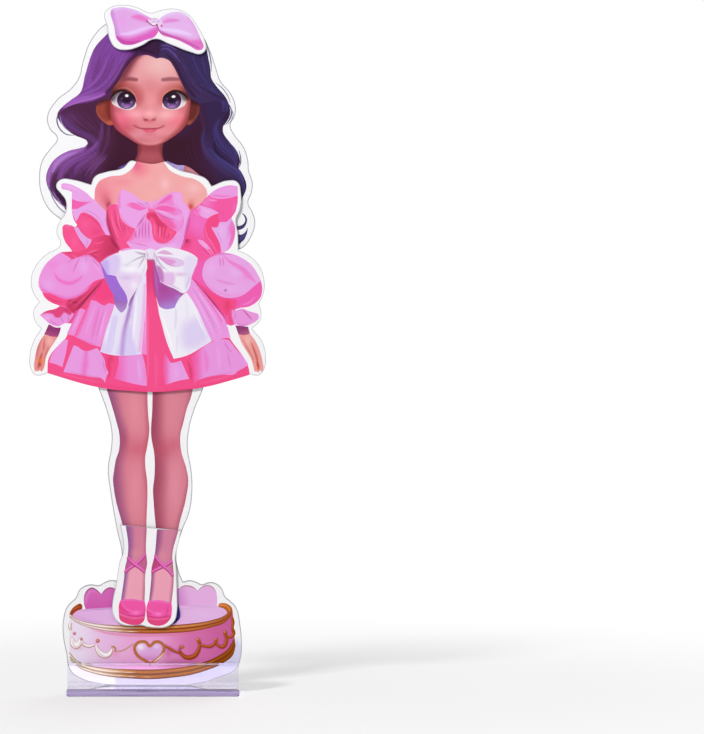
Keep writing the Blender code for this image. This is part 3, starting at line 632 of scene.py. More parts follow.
def pedestal():
    """The stand's wall with its scrolls and heart, between two gold bands."""
    right = [("3,11 4.4,10.2 6,9.3 7.4,8.8", [0.5, 0.7, 0.7, 0.6]),
        ("7.4,9.9 7.6,10.4 8.2,10.6", [0.5, 0.7, 0.6]),
        ("7.2,9.6 7.8,8.6 9,7.7 10.3,7.6 11.6,8.2 12.5,9.6 12.9,11.2 12.5,12.4",
        [0.7, 1.1, 1.3, 1.4, 1.3, 1.1, 0.9, 1.1]),
        ("12.8,11 14.4,10.7 15.6,10.6 16.8,11.2 17.4,12.3", [0.6, 0.8, 0.9, 0.8, 0.9]),
        ("17.3,11.4 18.4,10.6 19.2,10.5 19.9,11.3 20.2,12.8 19.8,14.4", [0.6, 0.9, 1.1, 1, 0.9, 1]),
        ("20.3,13.4 21.4,13.2 22.2,14.4 21.8,15.6 22,17.2 21.7,18.8", [0.6, 1, 1, 0.8, 0.9, 0.7])]
    left = [("-15.7,11.2 -15.2,9.7 -14.2,8.6 -13,8.2 -12,8.7 -11.3,9.9", [0.4, 0.9, 1.3, 1.3, 1, 0.4]),
        ("-19.9,12.6 -19.1,11.3 -17.6,10.8 -16.2,11.2", [0.4, 0.5, 0.5, 0.4]),
        ("-22.3,12.9 -21.9,11.4 -21.1,10.9 -20.4,11.5 -20.1,12.7", [0.6, 1.3, 1.5, 1.3, 0.6]),
        ("-22.6,17.4 -22.9,16.4 -22.6,15.2", [0.3, 0.6, 0.3])]
    shade = [brush(path, [1.6, 2.2, 1.6], "A83E84", 0.55) for path, _ in right[:5]]
    shade += [brush(path, [1.2, 1.8, 1.2], "D988B8", 0.5) for path, _ in left[:3]]
    cream = [Area(thin(path, np.array(widths) + 0.36) + (0.04, -0.1), "B98A72", grain=0.2)
        for path, widths in left]
    cream += [Area(thin(path, widths), "F6F1F3", brush(path, [0.2, 0.5, 0.2], "FFFFFF"),
        brush(even(path) + (0.2, -0.45), [0.3, 0.6, 0.3], "CE9AA8", 0.7), grain=0.2)
        for path, widths in left]
    gold = [Area(thin(path, widths), "A8441A",
        brush(even(path) + (-0.1, 0.14), [0.3, 0.5, 0.3], "D08040", 0.85),
        brush(even(path) + (0.14, -0.3), [0.3, 0.5, 0.3], "702808"), grain=0.2) for path, widths in right]
    heart = ("-0.85,11.2! -1.8,12.2 -3.3,12.4 -4.7,11.8 -5.5,10.3 -5,8.5 -3.6,7.1 -2,6.2 -0.8,5.4! 0.6,6.2"
             " 2,7.3 3,8.6 3.5,10.3 2.9,11.6 1.4,12.4 0.1,12.2!")
    rim = np.concatenate([line(heart), line(heart)[:1]])
    beads = ((-15.2, 12.2, 0.6, "BE6C70"), (12.4, 12.4, 0.6, "AE5424"), (17.4, 12.5, 0.55, "A84E1E"),
        (19.8, 14.5, 0.6, "A44C1C"), (8.1, 10.5, 0.5, "B05826"), (-21.6, 14.2, 0.5, "C4808C"),
        (-19.7, 12.7, 0.45, "C2808C"))
    return [
        Area("-22.9,18.8! -21,17.6 -14,15.8 -2.7,15.2 10.7,16 19.7,18.6 21.9,20.4! 22.5,12! 18,7.4 12,4.6"
            " 0,3 -12,3.6 -20,5.6 -22.9,8.2!", "ECA4D4", ramp((-3, 0), (-13, 0), "E9BBE2", 1),
            ramp((-12, 0), (-21, 0), "ECDDF0", 1), ramp((0, 0), (12, 0), "D46EA8", 1),
            ramp((12, 0), (21, 0), "C65C98", 0.9), blob(17.6, 15.4, 3, 1.6, "CC609A", 0.7),
            blob(-10.4, 8.6, 1.4, 1, "EC90C0", 0.6), blob(-7, 6.4, 5, 1.1, "E9A2D4", 0.7),
            # The dark blob at 6,6 is painted shade along the top edge of the holder's front wall
            blob(6, 6, 4, 1.3, "BE6698", 0.7), blob(4.2, 9, 1, 1.4, "C85C90", 0.6),
            blob(-20.6, 10.2, 1.4, 0.6, "E0B0CC", 0.7),
            brush("-22,18 -15,15 0,13.8 14,15.4 21.6,19", 1.6, "DC6C90", 0.55), *shade),
        *cream, *gold,
        Area(thin("-10.4,9.2 -8.5,9.5 -5.4,11.3", [0.3, 0.45, 0.45, 0.3]), "CD9488", grain=0.2),
        Area(thin("-11.5,10.6 -10.8,10.6 -10.3,10 -10.5,9.2", [0.4, 0.6, 0.6, 0.4]), "BE8654", grain=0.2),
        *[Area(ellipse(x, h, size, size), ink,
            blob(x - 0.15, h + 0.18, size * 0.5, size * 0.4, "F0C8A8", 0.7), grain=0.2)
            for x, h, size, ink in beads],
        Area(heart, "DFA8DC", ramp((-1, 9), (-1, 6.2), "D880C2", 0.95),
            blob(-3.4, 10.5, 1.1, 1, "FBF1FB", 0.95), blob(0.9, 10.6, 0.9, 0.6, "EBCDEF", 0.9),
            blob(-0.8, 6.5, 0.9, 0.5, "EDB4DC"), brush(rim, [1.9, 1.9], "B4602C", 1, 0.3),
            brush(rim, [1.3, 1.3], "D9955A"), brush(rim, [0.5, 0.5], "8A431C"),
            brush("3,8.9 1.8,7.6 0.2,6.4", [0.3, 1, 0.4], "F9E6D8", 0.95),
            brush("-0.2,6.2 -0.8,5.8 -1.6,6.4", 0.7, "D3A0A4", 0.85), grain=0.18),
        gold_band(*BAND, BAND_INKS), gold_band(*RIM, RIM_INKS)]


# How fine the printed colour of the dress is, in millimetres
CLOTH_GRAIN = 0.25


def cloth(outline, ink, *marks):
    """A printed piece of the dress."""
    return Area(outline, ink, *marks, grain=CLOTH_GRAIN)


# Bare shoulders above the dress
CHEST = [
    cloth("-4.6,143.9! -5.1,142.8 -8.1,140.3 -12,139.7 -14.9,138.3 -15.7,136.9 -16.1,133.3! -14.5,131.9"
        " -12.5,129.6! -9,126 9,126 10.3,130.3! 14.1,133.4 15,134.7! 14.7,136 10.9,139.2 8.9,139.6"
        " 4.3,141.8 2.9,143.9! 1.5,143.6", "F0A7A7", ramp((-3, 138), (-14, 137), "EF939F", 0.8),
        blob(-14.4, 135.6, 2, 2.8, "EA8093", 0.7), blob(-8.2, 138.2, 2.4, 1, "EE8C9B", 0.6),
        blob(-2.4, 139, 2, 1.6, "F3AEB0", 0.6), blob(-13, 133.4, 1.3, 2, "DC6580", 0.75),
        blob(-12.2, 131.8, 0.7, 1.3, "A8364E", 0.85), blob(-3.6, 142, 2.4, 2.6, "EE7C90"),
        blob(-4.6, 143, 1.3, 1.6, "E75C86", 0.7), blob(10.4, 131.5, 0.8, 1.1, "D04348", 0.95),
        blob(10.7, 132.9, 0.9, 0.9, "EA8A84", 0.6), blob(11.2, 136.6, 1.9, 1.3, "F3BCBE", 0.9),
        blob(3.3, 137.6, 1.4, 1.7, "F4BCC2", 0.9), blob(0, 135, 2.4, 1.6, "F2AEAE", 0.5))]

# Bodice with its pleats and its own small bow
BODICE = [
    cloth("-12.9,129.8! -12.6,131 -11.8,131.9 -10.6,132.2 -9.7,132.6! -9.5,134.4 -8.8,136.2! -7.5,135.9"
        " -4.8,134.4 -3.6,133.4 -2.4,132.9 0.4,132.9! 2,133.7 3.3,134.6 6.4,135.6 7.8,135.3! 8.1,134.4"
        " 8.1,133.4 9.4,131.7 10.3,130.3! 9.2,125 7.6,119.6! 4,119 -4,118.6 -7,118.8 -9.3,119.4!"
        " -11.2,122.6 -12,123.7 -12.4,125.6 -12.9,128", "EA9CDE",
        patch("5.6,134.8 7.4,135.2 8,133.4 9.4,131.4 9.6,128.6 8.4,126 7.4,129 6.8,132", "EBA8E6", 0.8, 1),
        *lines("DE78C2", 0.8, 0.8, "9.9,129.6 8.6,123.4 7.7,120.4")),
    cloth("-12.9,129.8! -12.6,131 -10.6,132.2 -9.4,131.8! -8.8,128.2 -6.2,125.9 -4.8,125.4! -6.4,122.6"
        " -7.3,121.6! -5,121.2 -3.2,120.6! -6,120.2 -7.6,120 -9.3,119.4! -11.2,122.6 -12,123.7 -12.4,125.6"
        " -12.9,128", "F2548D",
        brush("-12.8,130.4 -12.4,127.4 -10.6,122 -9.4,119.8", [1, 1.6, 1.8, 1.8, 1.4], "B02E56", 0.85),
        *lines("F6709F", 0.7, 0.8, "-11.5,131 -11.2,128 -10.4,125 -9.2,122.2",
        "-9.9,130.4 -9.5,127.6 -8.6,124.8"), *lines("C93A6A", 0.5, 0.85, "-10.7,131.8 -10,127 -8.2,122.8",
        "-8.2,126.9 -7.6,125.2 -7,123.8", "-7,126 -6.5,124.8 -6.1,123.8",
        "-9.4,128.4 -8.9,126.6 -7.4,123.2", "-12,129.6 -11.6,127 -9.6,121.6"),
        blob(-9.4, 131, 0.9, 1.4, "F070B2"), blob(-6.8, 124.2, 1.1, 1.4, "F8629A", 0.7)),
    cloth("-4.8,125.4! -2.1,129.2! -1,128.4 -0.6,127.2 -0.1,123.6 0.3,122.2! -1.6,121.6 -4.4,121.6"
        " -7.3,121.6! -6.4,122.6", "EB97DB", brush("-7,121.7 -5.6,123 -5,124.8", 1.6, "EE6EB4"),
        *lines("CE5CAE", 0.6, 0.9, "-2.7,127.9 -2.9,124 -2.7,122.2", "-2,128.2 -2.1,125.6 -2,122.2",
        "-1.1,127.9 -1.2,125.4 -1,122.2", "-3.5,126.6 -3.7,124.6 -3.9,122.4",
        "-4.6,125.2 -4.8,124 -4.5,122.4"), *lines("BE4A96", 0.45, 0.9, "-5,125.3 -3,127.7 -2.3,128.9")),
    cloth("-1.8,129.6! -0.9,130.3 0.3,130.4! 2.2,128 5,125.5 6.6,124.6! 6.1,123.6 3.2,121.4 0.9,121.8"
        " 0.2,122.6! -0.1,123.6 -0.9,127.5 -1.8,128.3", "F2558C",
        patch("-1.6,129.2 0.4,129.7 2,127.7 3.6,126 2.6,125.8 1.2,126.4 0.2,128.2", "D63A6A", 0.9, 0.8),
        brush("3.6,125.9 3.2,124.4 3,122.6", [1, 0.9, 0.2], "D03A6C", 0.85), *lines("CE3868", 0.7, 0.8,
        "1.1,128.6 1.4,126.4 1.5,123.4", "2.4,127 2.4,125 2.2,122.8", "4.6,125.4 4.4,124 3.9,122.6"),
        *lines("F87CA8", 0.6, 0.8, "0.3,127.4 0.5,125 0.7,122.8", "1.9,126 1.9,124.4 1.8,122.6"),
        blob(4.7, 124.4, 0.9, 0.9, "F86097", 0.7),
        *lines("B42C5C", 0.5, 0.7, "-1.7,129.1 -1.2,128.6 -0.8,127.8")),
    cloth("0.3,131! 2,131.7 4,131.8 6,131.4! 7.6,130.6 8.4,128.6 8.2,126 7,124.6! 5,125.5 0.3,130.4!",
        "EC86D0", patch("0.3,130.3 2.4,129.2 5,127.6 6.4,125.6 5,125.5 2.4,127.6", "F05EA2", 0.9, 1.2),
        patch("3,130 6.6,129 8,129.6 7.8,127.6 4,128.8 1,130.4", "EAA6E4", 0.85, 0.8),
        *lines("BE62B2", 0.45, 0.85, "0.6,130.3 2,129.3 5.8,128 7.4,127.9"),
        blob(7, 126.6, 0.9, 1.2, "EA92D8")),
    cloth("0.2,131.3! 4,134.5 5,135! 6.4,135.5 7.2,134.8 7.3,133 6.6,131.6! 4.6,131.8", "EC84CE",
        patch("1,132 2.8,133.6 4.6,134.8 5.6,134.4 4.6,133.4", "EC66B6", 0.9, 0.8),
        patch("5.4,135.2 7.4,135.4 7.4,132 6.2,131.6 5.6,133", "EBA6E4", 0.95, 1.2),
        *lines("F4A8DE", 0.4, 0.8, "0.5,131.5 2.4,132.1 4.4,132.2")),
    cloth("0.3,131! 2,131.6 4,131.6 6.5,130.3 6.6,129.6! 6,129.3 5,129.9 3,130.3 0.4,130.8!", "F065B2",
        blob(6.3, 129.9, 0.9, 0.7, "E68CD2", 0.9)),
    cloth(thin("0.5,130.6 2.4,130.1 4.2,129.5", [0.1, 0.4, 0.1]), "F2AEE4"),
    cloth("-8.8,136.2! -7.5,135.9 -4.8,134.4 -3.6,133.4 -1.6,132.8! -1.3,131 -1.6,130! -4.8,125.4!"
        " -6.2,125.9 -8.8,128.2 -9.2,130 -9.7,133.2", "EAA2E4",
        brush("-9,135.8 -9.5,133.6 -9.3,131.4", [0.6, 1.8, 1.6], "EE7CC8", 0.85),
        brush("-9.1,129.8 -8.4,128 -6.8,126.4 -5,125.6", 1.1, "EE80C8"),
        *lines("C466AE", 0.45, 0.85, "-4.7,133 -3.6,132.4 -1.5,131.5", "-2,132.8 -1.6,132.3 -1.3,131.8"),
        *lines("C45AA6", 0.5, 0.85, "-1.7,129.9 -2.6,128.6 -4.7,125.7")),
    cloth("-7.7,131.9! -6.5,132.5 -5.3,132.6 -4,132.1 -1.4,131.1! -3.8,130.4 -5,130.8", "F06EBB",
        blob(-7.2, 132, 0.9, 0.6, "E894D6", 0.9),
        *lines("F49AD2", 0.4, 0.8, "-4,131.9 -2.8,131.4 -1.8,131.1")),
    cloth("-1.5,132.7! -0.6,133 0.5,132.8! 0.4,130.6 0,130! -0.8,130 -1.4,130.4!", "EFA0DE",
        ramp((-0.5, 131.6), (-0.6, 130), "F2578F", 1),
        brush("-1.3,132.4 -1.1,131.4 -1.2,130.6", 0.5, "D070BC", 0.7),
        brush("0.3,132.6 0.2,131.6 0.2,130.8", 0.5, "D870BA", 0.7)),
    cloth("-7.3,121.6! -4.4,121.6 -1.6,121.5 0.3,122.2! 0.9,121.8 3.2,121.4 5.4,122.7 6.3,123.8! 7.6,124.4"
        " 8.6,122.6 7.6,119.6! 0,118.6 -4,118.8 -6,120!", "EAA2E3",
        patch("5.6,122.6 8.4,124 8,121 6,121", "E79BE0", 0.8, 0.8), blob(4, 120.8, 2.4, 0.6, "E6B2EC"),
        *lines("D46CB8", 0.5, 0.8, "-7,121.7 -5,121.4 -0.8,120.4"),
        brush("0.3,122 2.4,121.2 5,121.8 6.6,123.6", 0.7, "E06EB4", 0.6)),
    cloth(thin("10.3,130.3 8.2,121.4 7.6,119.9", [0.1, 0.4, 0.1]), "B84C92")]

# Left sleeve: ruffle, puff, cuff and hand
LEFT_SLEEVE = [
    cloth("-30.5,108.2! -29.9,106.8 -27.4,104.9 -25.9,104.4! -24,103.2 -22.6,102.8 -21.8,102! -21,103"
        " -20,103.4! -13.2,111.9! -16,112 -22,108 -28,109", "F14D88",
        patch("-23.2,105.9 -21,106.5 -17,108.8 -13.6,111.6 -17.2,106.6 -19.6,103.6 -21.7,101.8"
        " -23.6,103.4", "C2365F", 0.9, 0.9), *lines("96244A", 0.8, 0.8,
        "-21.9,102.2 -17.6,107 -14.2,110.8", "-22.8,105.6 -21.4,105.2 -20.2,105.2"), *lines("E84A7D", 0.9,
        0.85, "-22.4,103.4 -18,107.4 -15.2,110.4", "-23.4,104.4 -21.6,106 -19.6,107"),
        *lines("D03A68", 0.6, 0.7, "-29.6,107 -27,105.6 -24.6,105.2")),
    cloth("-31.1,101.7! -29.6,102.7 -26.5,103.6 -25.4,104.3! -24.4,104.2 -21.7,102! -22.4,100.8"
        " -23.4,99.6! -24.6,99.3 -25.8,98.6 -27.2,98.8", "E794DA",
        patch("-31,101.9 -28.6,103.3 -26,104.2 -22,102.6 -22.8,101.7 -24.4,102.4 -25.4,101.2 -26.6,101"
        " -27.6,102 -29.4,102.2", "DE4278", 0.95, 0.4),
        *lines("B22E5C", 0.5, 0.7, "-25.2,103.6 -23.8,103 -22.4,102"), *lines("D468B6", 0.5, 0.8,
        "-25.4,101.2 -24.8,100.2 -24.3,99.6", "-23.4,101.8 -23.2,100.6 -23.6,99.8",
        "-28.6,100.4 -27,99.4 -25.8,98.9"), blob(-29, 101, 0.9, 0.5, "F0B4EA", 0.7)),
    cloth("-28.6,99.2! -26.6,98.3 -25.3,98.3! -25.6,97 -26.2,95.6! -28.2,95.9 -29.9,96.4!", "8E3572",
        ramp((-27.2, 98), (-27.9, 95.7), "B04C7C", 0.9),
        *lines("7A2A62", 0.7, 0.7, "-28.6,98.4 -29.2,97")),
    cloth("-29.8,96.3! -28.3,95.9 -26.2,95.7! -29.4,90 -30,87 -30.6,86.1! -31.1,86.6 -31.6,86.1!"
        " -31.9,86.5 -32.3,86.1! -32.5,86.6 -32.4,90 -30.8,95", "E5908E",
        blob(-28.4, 94.6, 1, 1.4, "F2B0AA", 0.9), brush("-30.6,95 -31.6,92 -32,89", 1, "C8666E", 0.7),
        brush("-29.8,95 -30,92.9 -31.1,89.1 -31.5,87.2", [0.2, 0.7, 1, 1.2, 0.7], "A83A36", 0.7),
        blob(-30.8, 89.2, 0.65, 0.55, "EE7E2E", 0.95), blob(-31, 88.1, 0.4, 0.5, "B83222"),
        *lines("C05C62", 0.5, 0.7, "-28.2,93.8 -29.4,91.2 -30,88.6"),
        blob(-30.3, 91.8, 0.4, 1, "F0A69C", 0.7)),
    cloth("-25.2,118.9 -27,117.9 -30,114.9 -31.2,109.2 -30.5,108! -28.7,107.7 -23.5,106 -18.4,108.2"
        " -16.4,110.8 -13.2,111.9! -14.1,114.8 -14.9,116.1! -17.4,118.2 -19.6,118 -21,117.5 -21.8,118.2"
        " -23.4,118.5", "E994DB", blob(-19, 115, 1.6, 2.2, "E8A8E6", 0.9),
        blob(-28.6, 110, 1.8, 1.6, "E7A4E4"),
        brush("-21.4,117.4 -19.4,118 -17.2,118 -15,116.4", [0.6, 1.4, 1.4, 0.6], "E068B4", 0.7),
        blob(-27.4, 115.2, 1.6, 1.2, "EA88D2"), blob(-24.8, 114.4, 1.6, 1, "E8A0E2", 0.7),
        brush("-27.2,113.4 -26.2,111.7 -22.4,110.5 -20.7,111.3 -19.2,112.6",
        [0.3, 1.4, 1.9, 1.9, 1.4, 0.3], "EC6CBE", 0.85),
        brush("-30.4,108.6 -27,107.2 -23.6,106.2 -20,107.2 -17.4,109.8", [1, 1.6, 1.8, 1.6, 0.8], "E66EBC",
        0.85), *lines("CE66B0", 0.5, 0.85, "-20.1,117.5 -21.5,114.6 -22,112.8"), *lines("D071B8", 0.45,
        0.8, "-18.6,117.9 -18.3,117 -18.2,116.2", "-17,117.4 -15.8,116 -14.7,114.4",
        "-21.4,117.6 -22.6,116.6 -24,115.9"),
        *lines("F2B2EA", 0.6, 0.7, "-16.6,116.4 -15.4,114.8 -14.6,113.2"),
        *lines("E578C4", 0.8, 0.7, "-30.9,110.6 -30.2,108.8 -28.6,108.2")),
    cloth("-25.3,119! -22.2,119.2! -21.9,118.2 -21.2,117.4 -22.3,117 -23.2,117.7 -24.2,118.3!", "EC4C86",
        *lines("C8386C", 0.5, 0.7, "-24.6,118.9 -23,118.7 -22,118.6")),
    cloth("-16.9,122.5! -14.4,123.5 -12,123.7! -10.2,121.2 -9.2,119.4! -10.5,118.8 -12.4,118.1"
        " -14.8,116.2! -16.2,117.4 -17.6,118.3 -19.5,118 -21,117.6 -22.2,118.6! -22,119.2 -20.4,118.9"
        " -18.6,119.9", "EA4A7E", ramp((-17, 121), (-10.4, 120), "C2345E", 0.95),
        brush("-11.8,123.4 -10.6,121.4 -9.5,119.8", 1.7, "A0264A", 0.9),
        *lines("F27AA6", 0.5, 0.85, "-18.4,118.4 -16.8,119.1 -14.8,119.8"), *lines("B62E5E", 0.5, 0.8,
        "-18.2,118.1 -16.4,118.7 -14.2,119.3", "-17.6,118.2 -16.2,117.9 -15,117"),
        *lines("F65F96", 0.8, 0.7, "-16.6,121.8 -15,121.4 -13.4,122")),
    cloth("-24.9,125.8! -24.7,124 -23.2,120.7 -22,119.2! -21,118.9 -19.8,119.4 -18.4,119.8! -20.2,122.7"
        " -21.7,125.5! -22.5,126.3 -24.5,126.4", "F4548F", blob(-23, 126.5, 1, 0.5, "E08AC8"),
        blob(-21.6, 121.8, 0.9, 1.6, "F8629A", 0.7),
        *lines("D63C74", 0.5, 0.7, "-20.6,123.2 -19.6,121.6 -18.8,120.2")),
    cloth("-21.7,125.6! -20.7,125.8 -20,124.8 -17.6,122.7 -16.8,122.4! -17.2,121.4 -18.3,119.9!"
        " -18.7,120.7 -19.6,121.8", "E3A2E1",
        *lines("D784CA", 0.7, 0.7, "-18.2,122.6 -18,121.4 -18.4,120.4")),
    cloth("-21.2,127.4! -20.4,128.6 -20,129.5 -19.1,129.9 -18,129.6 -15,127.4 -13.4,124.5 -12.8,123.7!"
        " -14.4,123.5 -16.9,122.5! -18,123.1 -20,125.3", "F1538D",
        brush("-19.6,129.4 -17,128.4 -15,126.6 -13.4,124.2", 0.9, "E04076", 0.7),
        blob(-18.6, 126.6, 1.4, 1.4, "F55C96"), blob(-15.4, 124.4, 1.2, 0.8, "E6447A", 0.7)),
    cloth("-25.2,137.1 -24.8,137.8 -23.4,137.8 -21.2,137 -18,135 -16.9,133.9 -16,133.2! -13.6,130.9"
        " -12.8,129.8! -12.8,128 -11.8,123.6! -12.8,123.7 -13.4,124.5 -15,127.4 -18,129.6 -19.1,129.9"
        " -20,129.5 -20.4,128.6 -21.2,127.4! -22.2,130.2 -22.3,132.6 -22.3,135.8! -23.6,136.1"
        " -24.9,136.3", "E7A3E4",
        *lines("D982CA", 0.6, 0.7, "-20.2,129.8 -18.6,130.4 -16.4,129.6 -12.8,124.6"),
        *lines("F2BCEC", 0.6, 0.7, "-24.6,137.2 -22.4,136.8 -20,135.6"),
        *lines("CE6AB6", 0.5, 0.8, "-13,129.4 -12.9,127.4 -11.9,123.8")),
    cloth("-22.3,133.6! -20.5,132.95 -16,133.1! -19.6,131.5 -20.8,130.9 -22.3,130.8!", "EF62AE",
        ramp((-19.6, 132), (-16.4, 133), "EC96D8", 0.95))]

# Right sleeve: ruffle, puff, cuff and hand
RIGHT_SLEEVE = [
    cloth("18.4,118.9! 20.6,118.7 27.4,115 28.8,112.8 30,109 29.6,106.8 26.2,104 24,103.7! 23.2,103.4"
        " 21.4,103.2 20.8,102.6! 20.4,101.4 19.5,101.6! 15.4,106.6 13,109.6 10.6,112! 10.8,113.6"
        " 11.6,115.3 12.6,116.6 14.2,117", "EE60B2",
        patch("11,111.6 13.6,109.8 16.4,107.8 20,106.2 23,105.6 22.4,103.4 20.6,101.4 18,103.6", "F14C86",
        0.95, 1), blob(20.4, 104.4, 0.9, 1.8, "E63F70", 0.85),
        brush("24,104.3 26.4,105.2 28.4,107", 1, "E98ACF", 0.85),
        *lines("F3A4D6", 0.5, 0.9, "10.9,112.4 11.4,114.4 12.4,116.3"),
        *lines("A82A58", 0.7, 0.9, "10.8,111.9 17,104.6 19,102.2 20.2,101")),
    cloth("18,118.6! 20.6,118.7 28.8,112.8 29.5,111! 28.2,110 24,106.9 20,106.5 13.5,113 14.6,116.6"
        " 16,117.8", "E7A3E2", brush("19.3,118 21,116.5 25,113.9 26.8,112 28.2,110.8",
        [0.4, 1.2, 1.9, 2.3, 1.8, 0.5], "EC78C6", 0.9), blob(25.8, 112.4, 1.2, 1, "EA84CE", 0.6),
        brush("14.4,116.6 16.2,118 18.4,118.6 21.4,118.4", [0.6, 1.4, 1.4, 0.6], "E274BE", 0.7),
        *lines("DC68B4", 0.55, 0.85, "18.2,117.9 18.4,116.6 18.7,114.8", "19,117.9 19.3,116.4 19.4,115"),
        brush("16.6,111.6 21,110.4 23.4,110.2", 1.1, "E083CA", 0.75),
        brush("14,113 15,110.4 23,107.2 26,109", 0.9, "EA8CD4", 0.7),
        blob(16, 114.6, 1.4, 1.6, "EAB0EA", 0.7), blob(22.4, 113.4, 1.4, 1, "E8B2EC", 0.8, -35),
        blob(22, 108.8, 2.6, 0.9, "E8AAE6"), blob(19.9, 108.5, 0.3, 0.28, "7A4A7E", 0.95)),
    cloth("21.2,103.2! 22.8,103 24.4,103.5 26,102.9 28.8,102.1! 29.1,101.2 26.8,99.2 24,98.7 22.8,99.2!"
        " 21.9,98.9 20.8,99.8! 20.6,101.4", "E796DA",
        patch("20.5,99.5 22,99 21.6,101.8 21.5,103.4 20.4,103", "EE4C86", 0.95, 0.5),
        *lines("C04C94", 0.6, 0.9, "24.4,103.4 25.6,102.2 27.3,100.2"),
        *lines("D870BE", 0.6, 0.7, "22.6,99.4 24.6,99 26.8,99.5", "22.4,103 22.6,101.6 22.2,100.2")),
    cloth("22.6,98.9! 26.1,98.5! 26.6,96.6! 25,96.2 23.4,96.5!", "8E3A72",
        ramp((24.6, 98.2), (25.2, 96.3), "B85C84", 0.9)),
    cloth("23.4,96.5! 25,96.2 26.6,96.6! 27.7,95.2 30.1,88.8 30.3,87 29.9,86.1! 29.4,86.5 29,85.9!"
        " 28.5,86.2 27.9,86.2! 27.1,89.2 24.1,94.6", "EA9C98", blob(26, 94.8, 1, 1.4, "F3B6B0", 0.9),
        brush("26.8,94.6 28.4,90.2 28.9,87.8", [0.2, 0.9, 1.1, 0.7], "B43E38", 0.7),
        brush("28.4,89 28.9,87.6 28.9,86.4", 1.2, "C03026"),
        *lines("C4646A", 0.5, 0.8, "24.4,95.6 25.8,92.8 27.2,90.4 28,88")),
    cloth("9,122.6! 11,122.6 12.6,122.3 14,122.6! 15.2,122.4 16.4,121 18.4,118.8! 12.8,116.3! 12.1,117.5"
        " 10.2,118.7 7.6,119.8!", "F1599E", blob(9.2, 122.1, 0.9, 0.8, "AE2850", 0.95),
        blob(9, 120.8, 1.4, 0.9, "EA4480"),
        *lines("F59ACB", 0.5, 0.85, "13.4,120.9 15,119.5 16.3,117.9", "14.6,121.4 15.8,119.8 16.8,118.2"),
        *lines("D43E84", 0.5, 0.8, "13.2,120.4 14.8,119 16,117.8", "15.2,121.2 16.4,119.6 17.2,118.4")),
    cloth("12.2,122.4! 13.3,122.3 15.9,119.7! 14.8,119.9 12.8,121.4", "EE9CDA",
        *lines("F6BCE4", 0.4, 0.8, "13,121.9 14,121.2 15,120.3")),
    cloth("11.8,130.7! 12.7,129.4 13.9,128.5 15,128.2! 14.6,127.2 14,126 14.2,122.6! 12.6,122.4 11,122.6"
        " 8.6,122.6! 10.3,130.3!", "EF6ABA", ramp((12, 126), (9.4, 122.4), "F0508F", 0.9),
        brush("10.3,129.4 9.8,126.4 9,123.4", 1, "D652A0", 0.75),
        *lines("F49AD4", 0.45, 0.8, "11.2,130.4 12,129.4 13,128.8"),
        blob(12.2, 126.8, 1.2, 1.6, "F074C4", 0.7)),
    cloth("15,128.2! 15.8,129 16.8,129.3 18.2,129.7! 20,128.8 21.6,128.6! 20.2,127.3 18.2,127.2 17.8,126.3"
        " 17,125.8 16,125.9! 16.5,124.8 18.3,121.4 18.6,118.9! 17.6,119.4 16.4,121 15.2,122.4 14.2,123!"
        " 13.9,124.4", "F14C87",
        *lines("F57CB4", 0.6, 0.8, "14.6,127 14.3,125.2 14.8,123.4 16.4,121.2 17.4,119.4")),
    cloth("13.4,132.2! 15.1,134.3! 18.5,133.6 23.3,134.5! 23.2,132.4 22.2,129.3! 20,127.3 18.2,127.4!"
        " 17.9,128.6 18.3,129.7! 15.4,131.4", "F25AA2", ramp((18, 132), (14, 132.6), "EE7CC8", 0.95),
        *lines("F4A2D8", 0.6, 0.85, "14.8,133.5 16.4,133.2 18.2,133.2"),
        blob(22.4, 131, 0.7, 1.6, "EE6EB6", 0.7)),
    cloth("15.1,134.6! 17,136 22,137.3 22.9,137.1 23.3,134.5! 20.6,133.8 16.6,133.9", "EA9ADE",
        brush("15.4,134.4 17.4,134.5 19.4,134.3 21.8,134.6", 1, "F070BE", 0.85)),
    cloth("12.8,131.9! 17,130.4 18.1,129.7! 16,128.9 15,128.2! 13.9,128.5 12.7,129.4 11.8,130.8!",
        "EBA4E2", blob(12.4, 130.5, 0.7, 0.8, "EE70BE", 0.85),
        *lines("F4C0EC", 0.5, 0.8, "13.2,131 14.6,130.3 16.4,129.6")),
    cloth("16,125.9! 17,125.7 17.9,126 18.2,127.1 20.2,127.3 21.5,128.5! 22.5,126 22.4,123 20.8,120.1"
        " 19.5,118.9 18.7,118.8! 18.6,120.2", "E5A8E6",
        brush("22.1,127 22.3,124.8 21.6,122.2 20.2,119.8", 1.4, "EA6EBC", 0.85),
        patch("21.6,127.6 22.5,126 21.9,122 21.2,121 21.2,123.6 20.8,125.6", "EA6EBC", 0.8, 0.9),
        *lines("DE86CC", 0.6, 0.7, "20.4,126.6 20.6,124.2 20,121.6", "17.2,125.2 18.4,123 18.9,120.2"),
        blob(18.8, 124.6, 0.7, 1.6, "E9B6EE")),
    cloth(thin("12.4,116.9 11.3,114.8 10.7,112.4", [0.1, 0.3, 0.1]), "D670B4")]

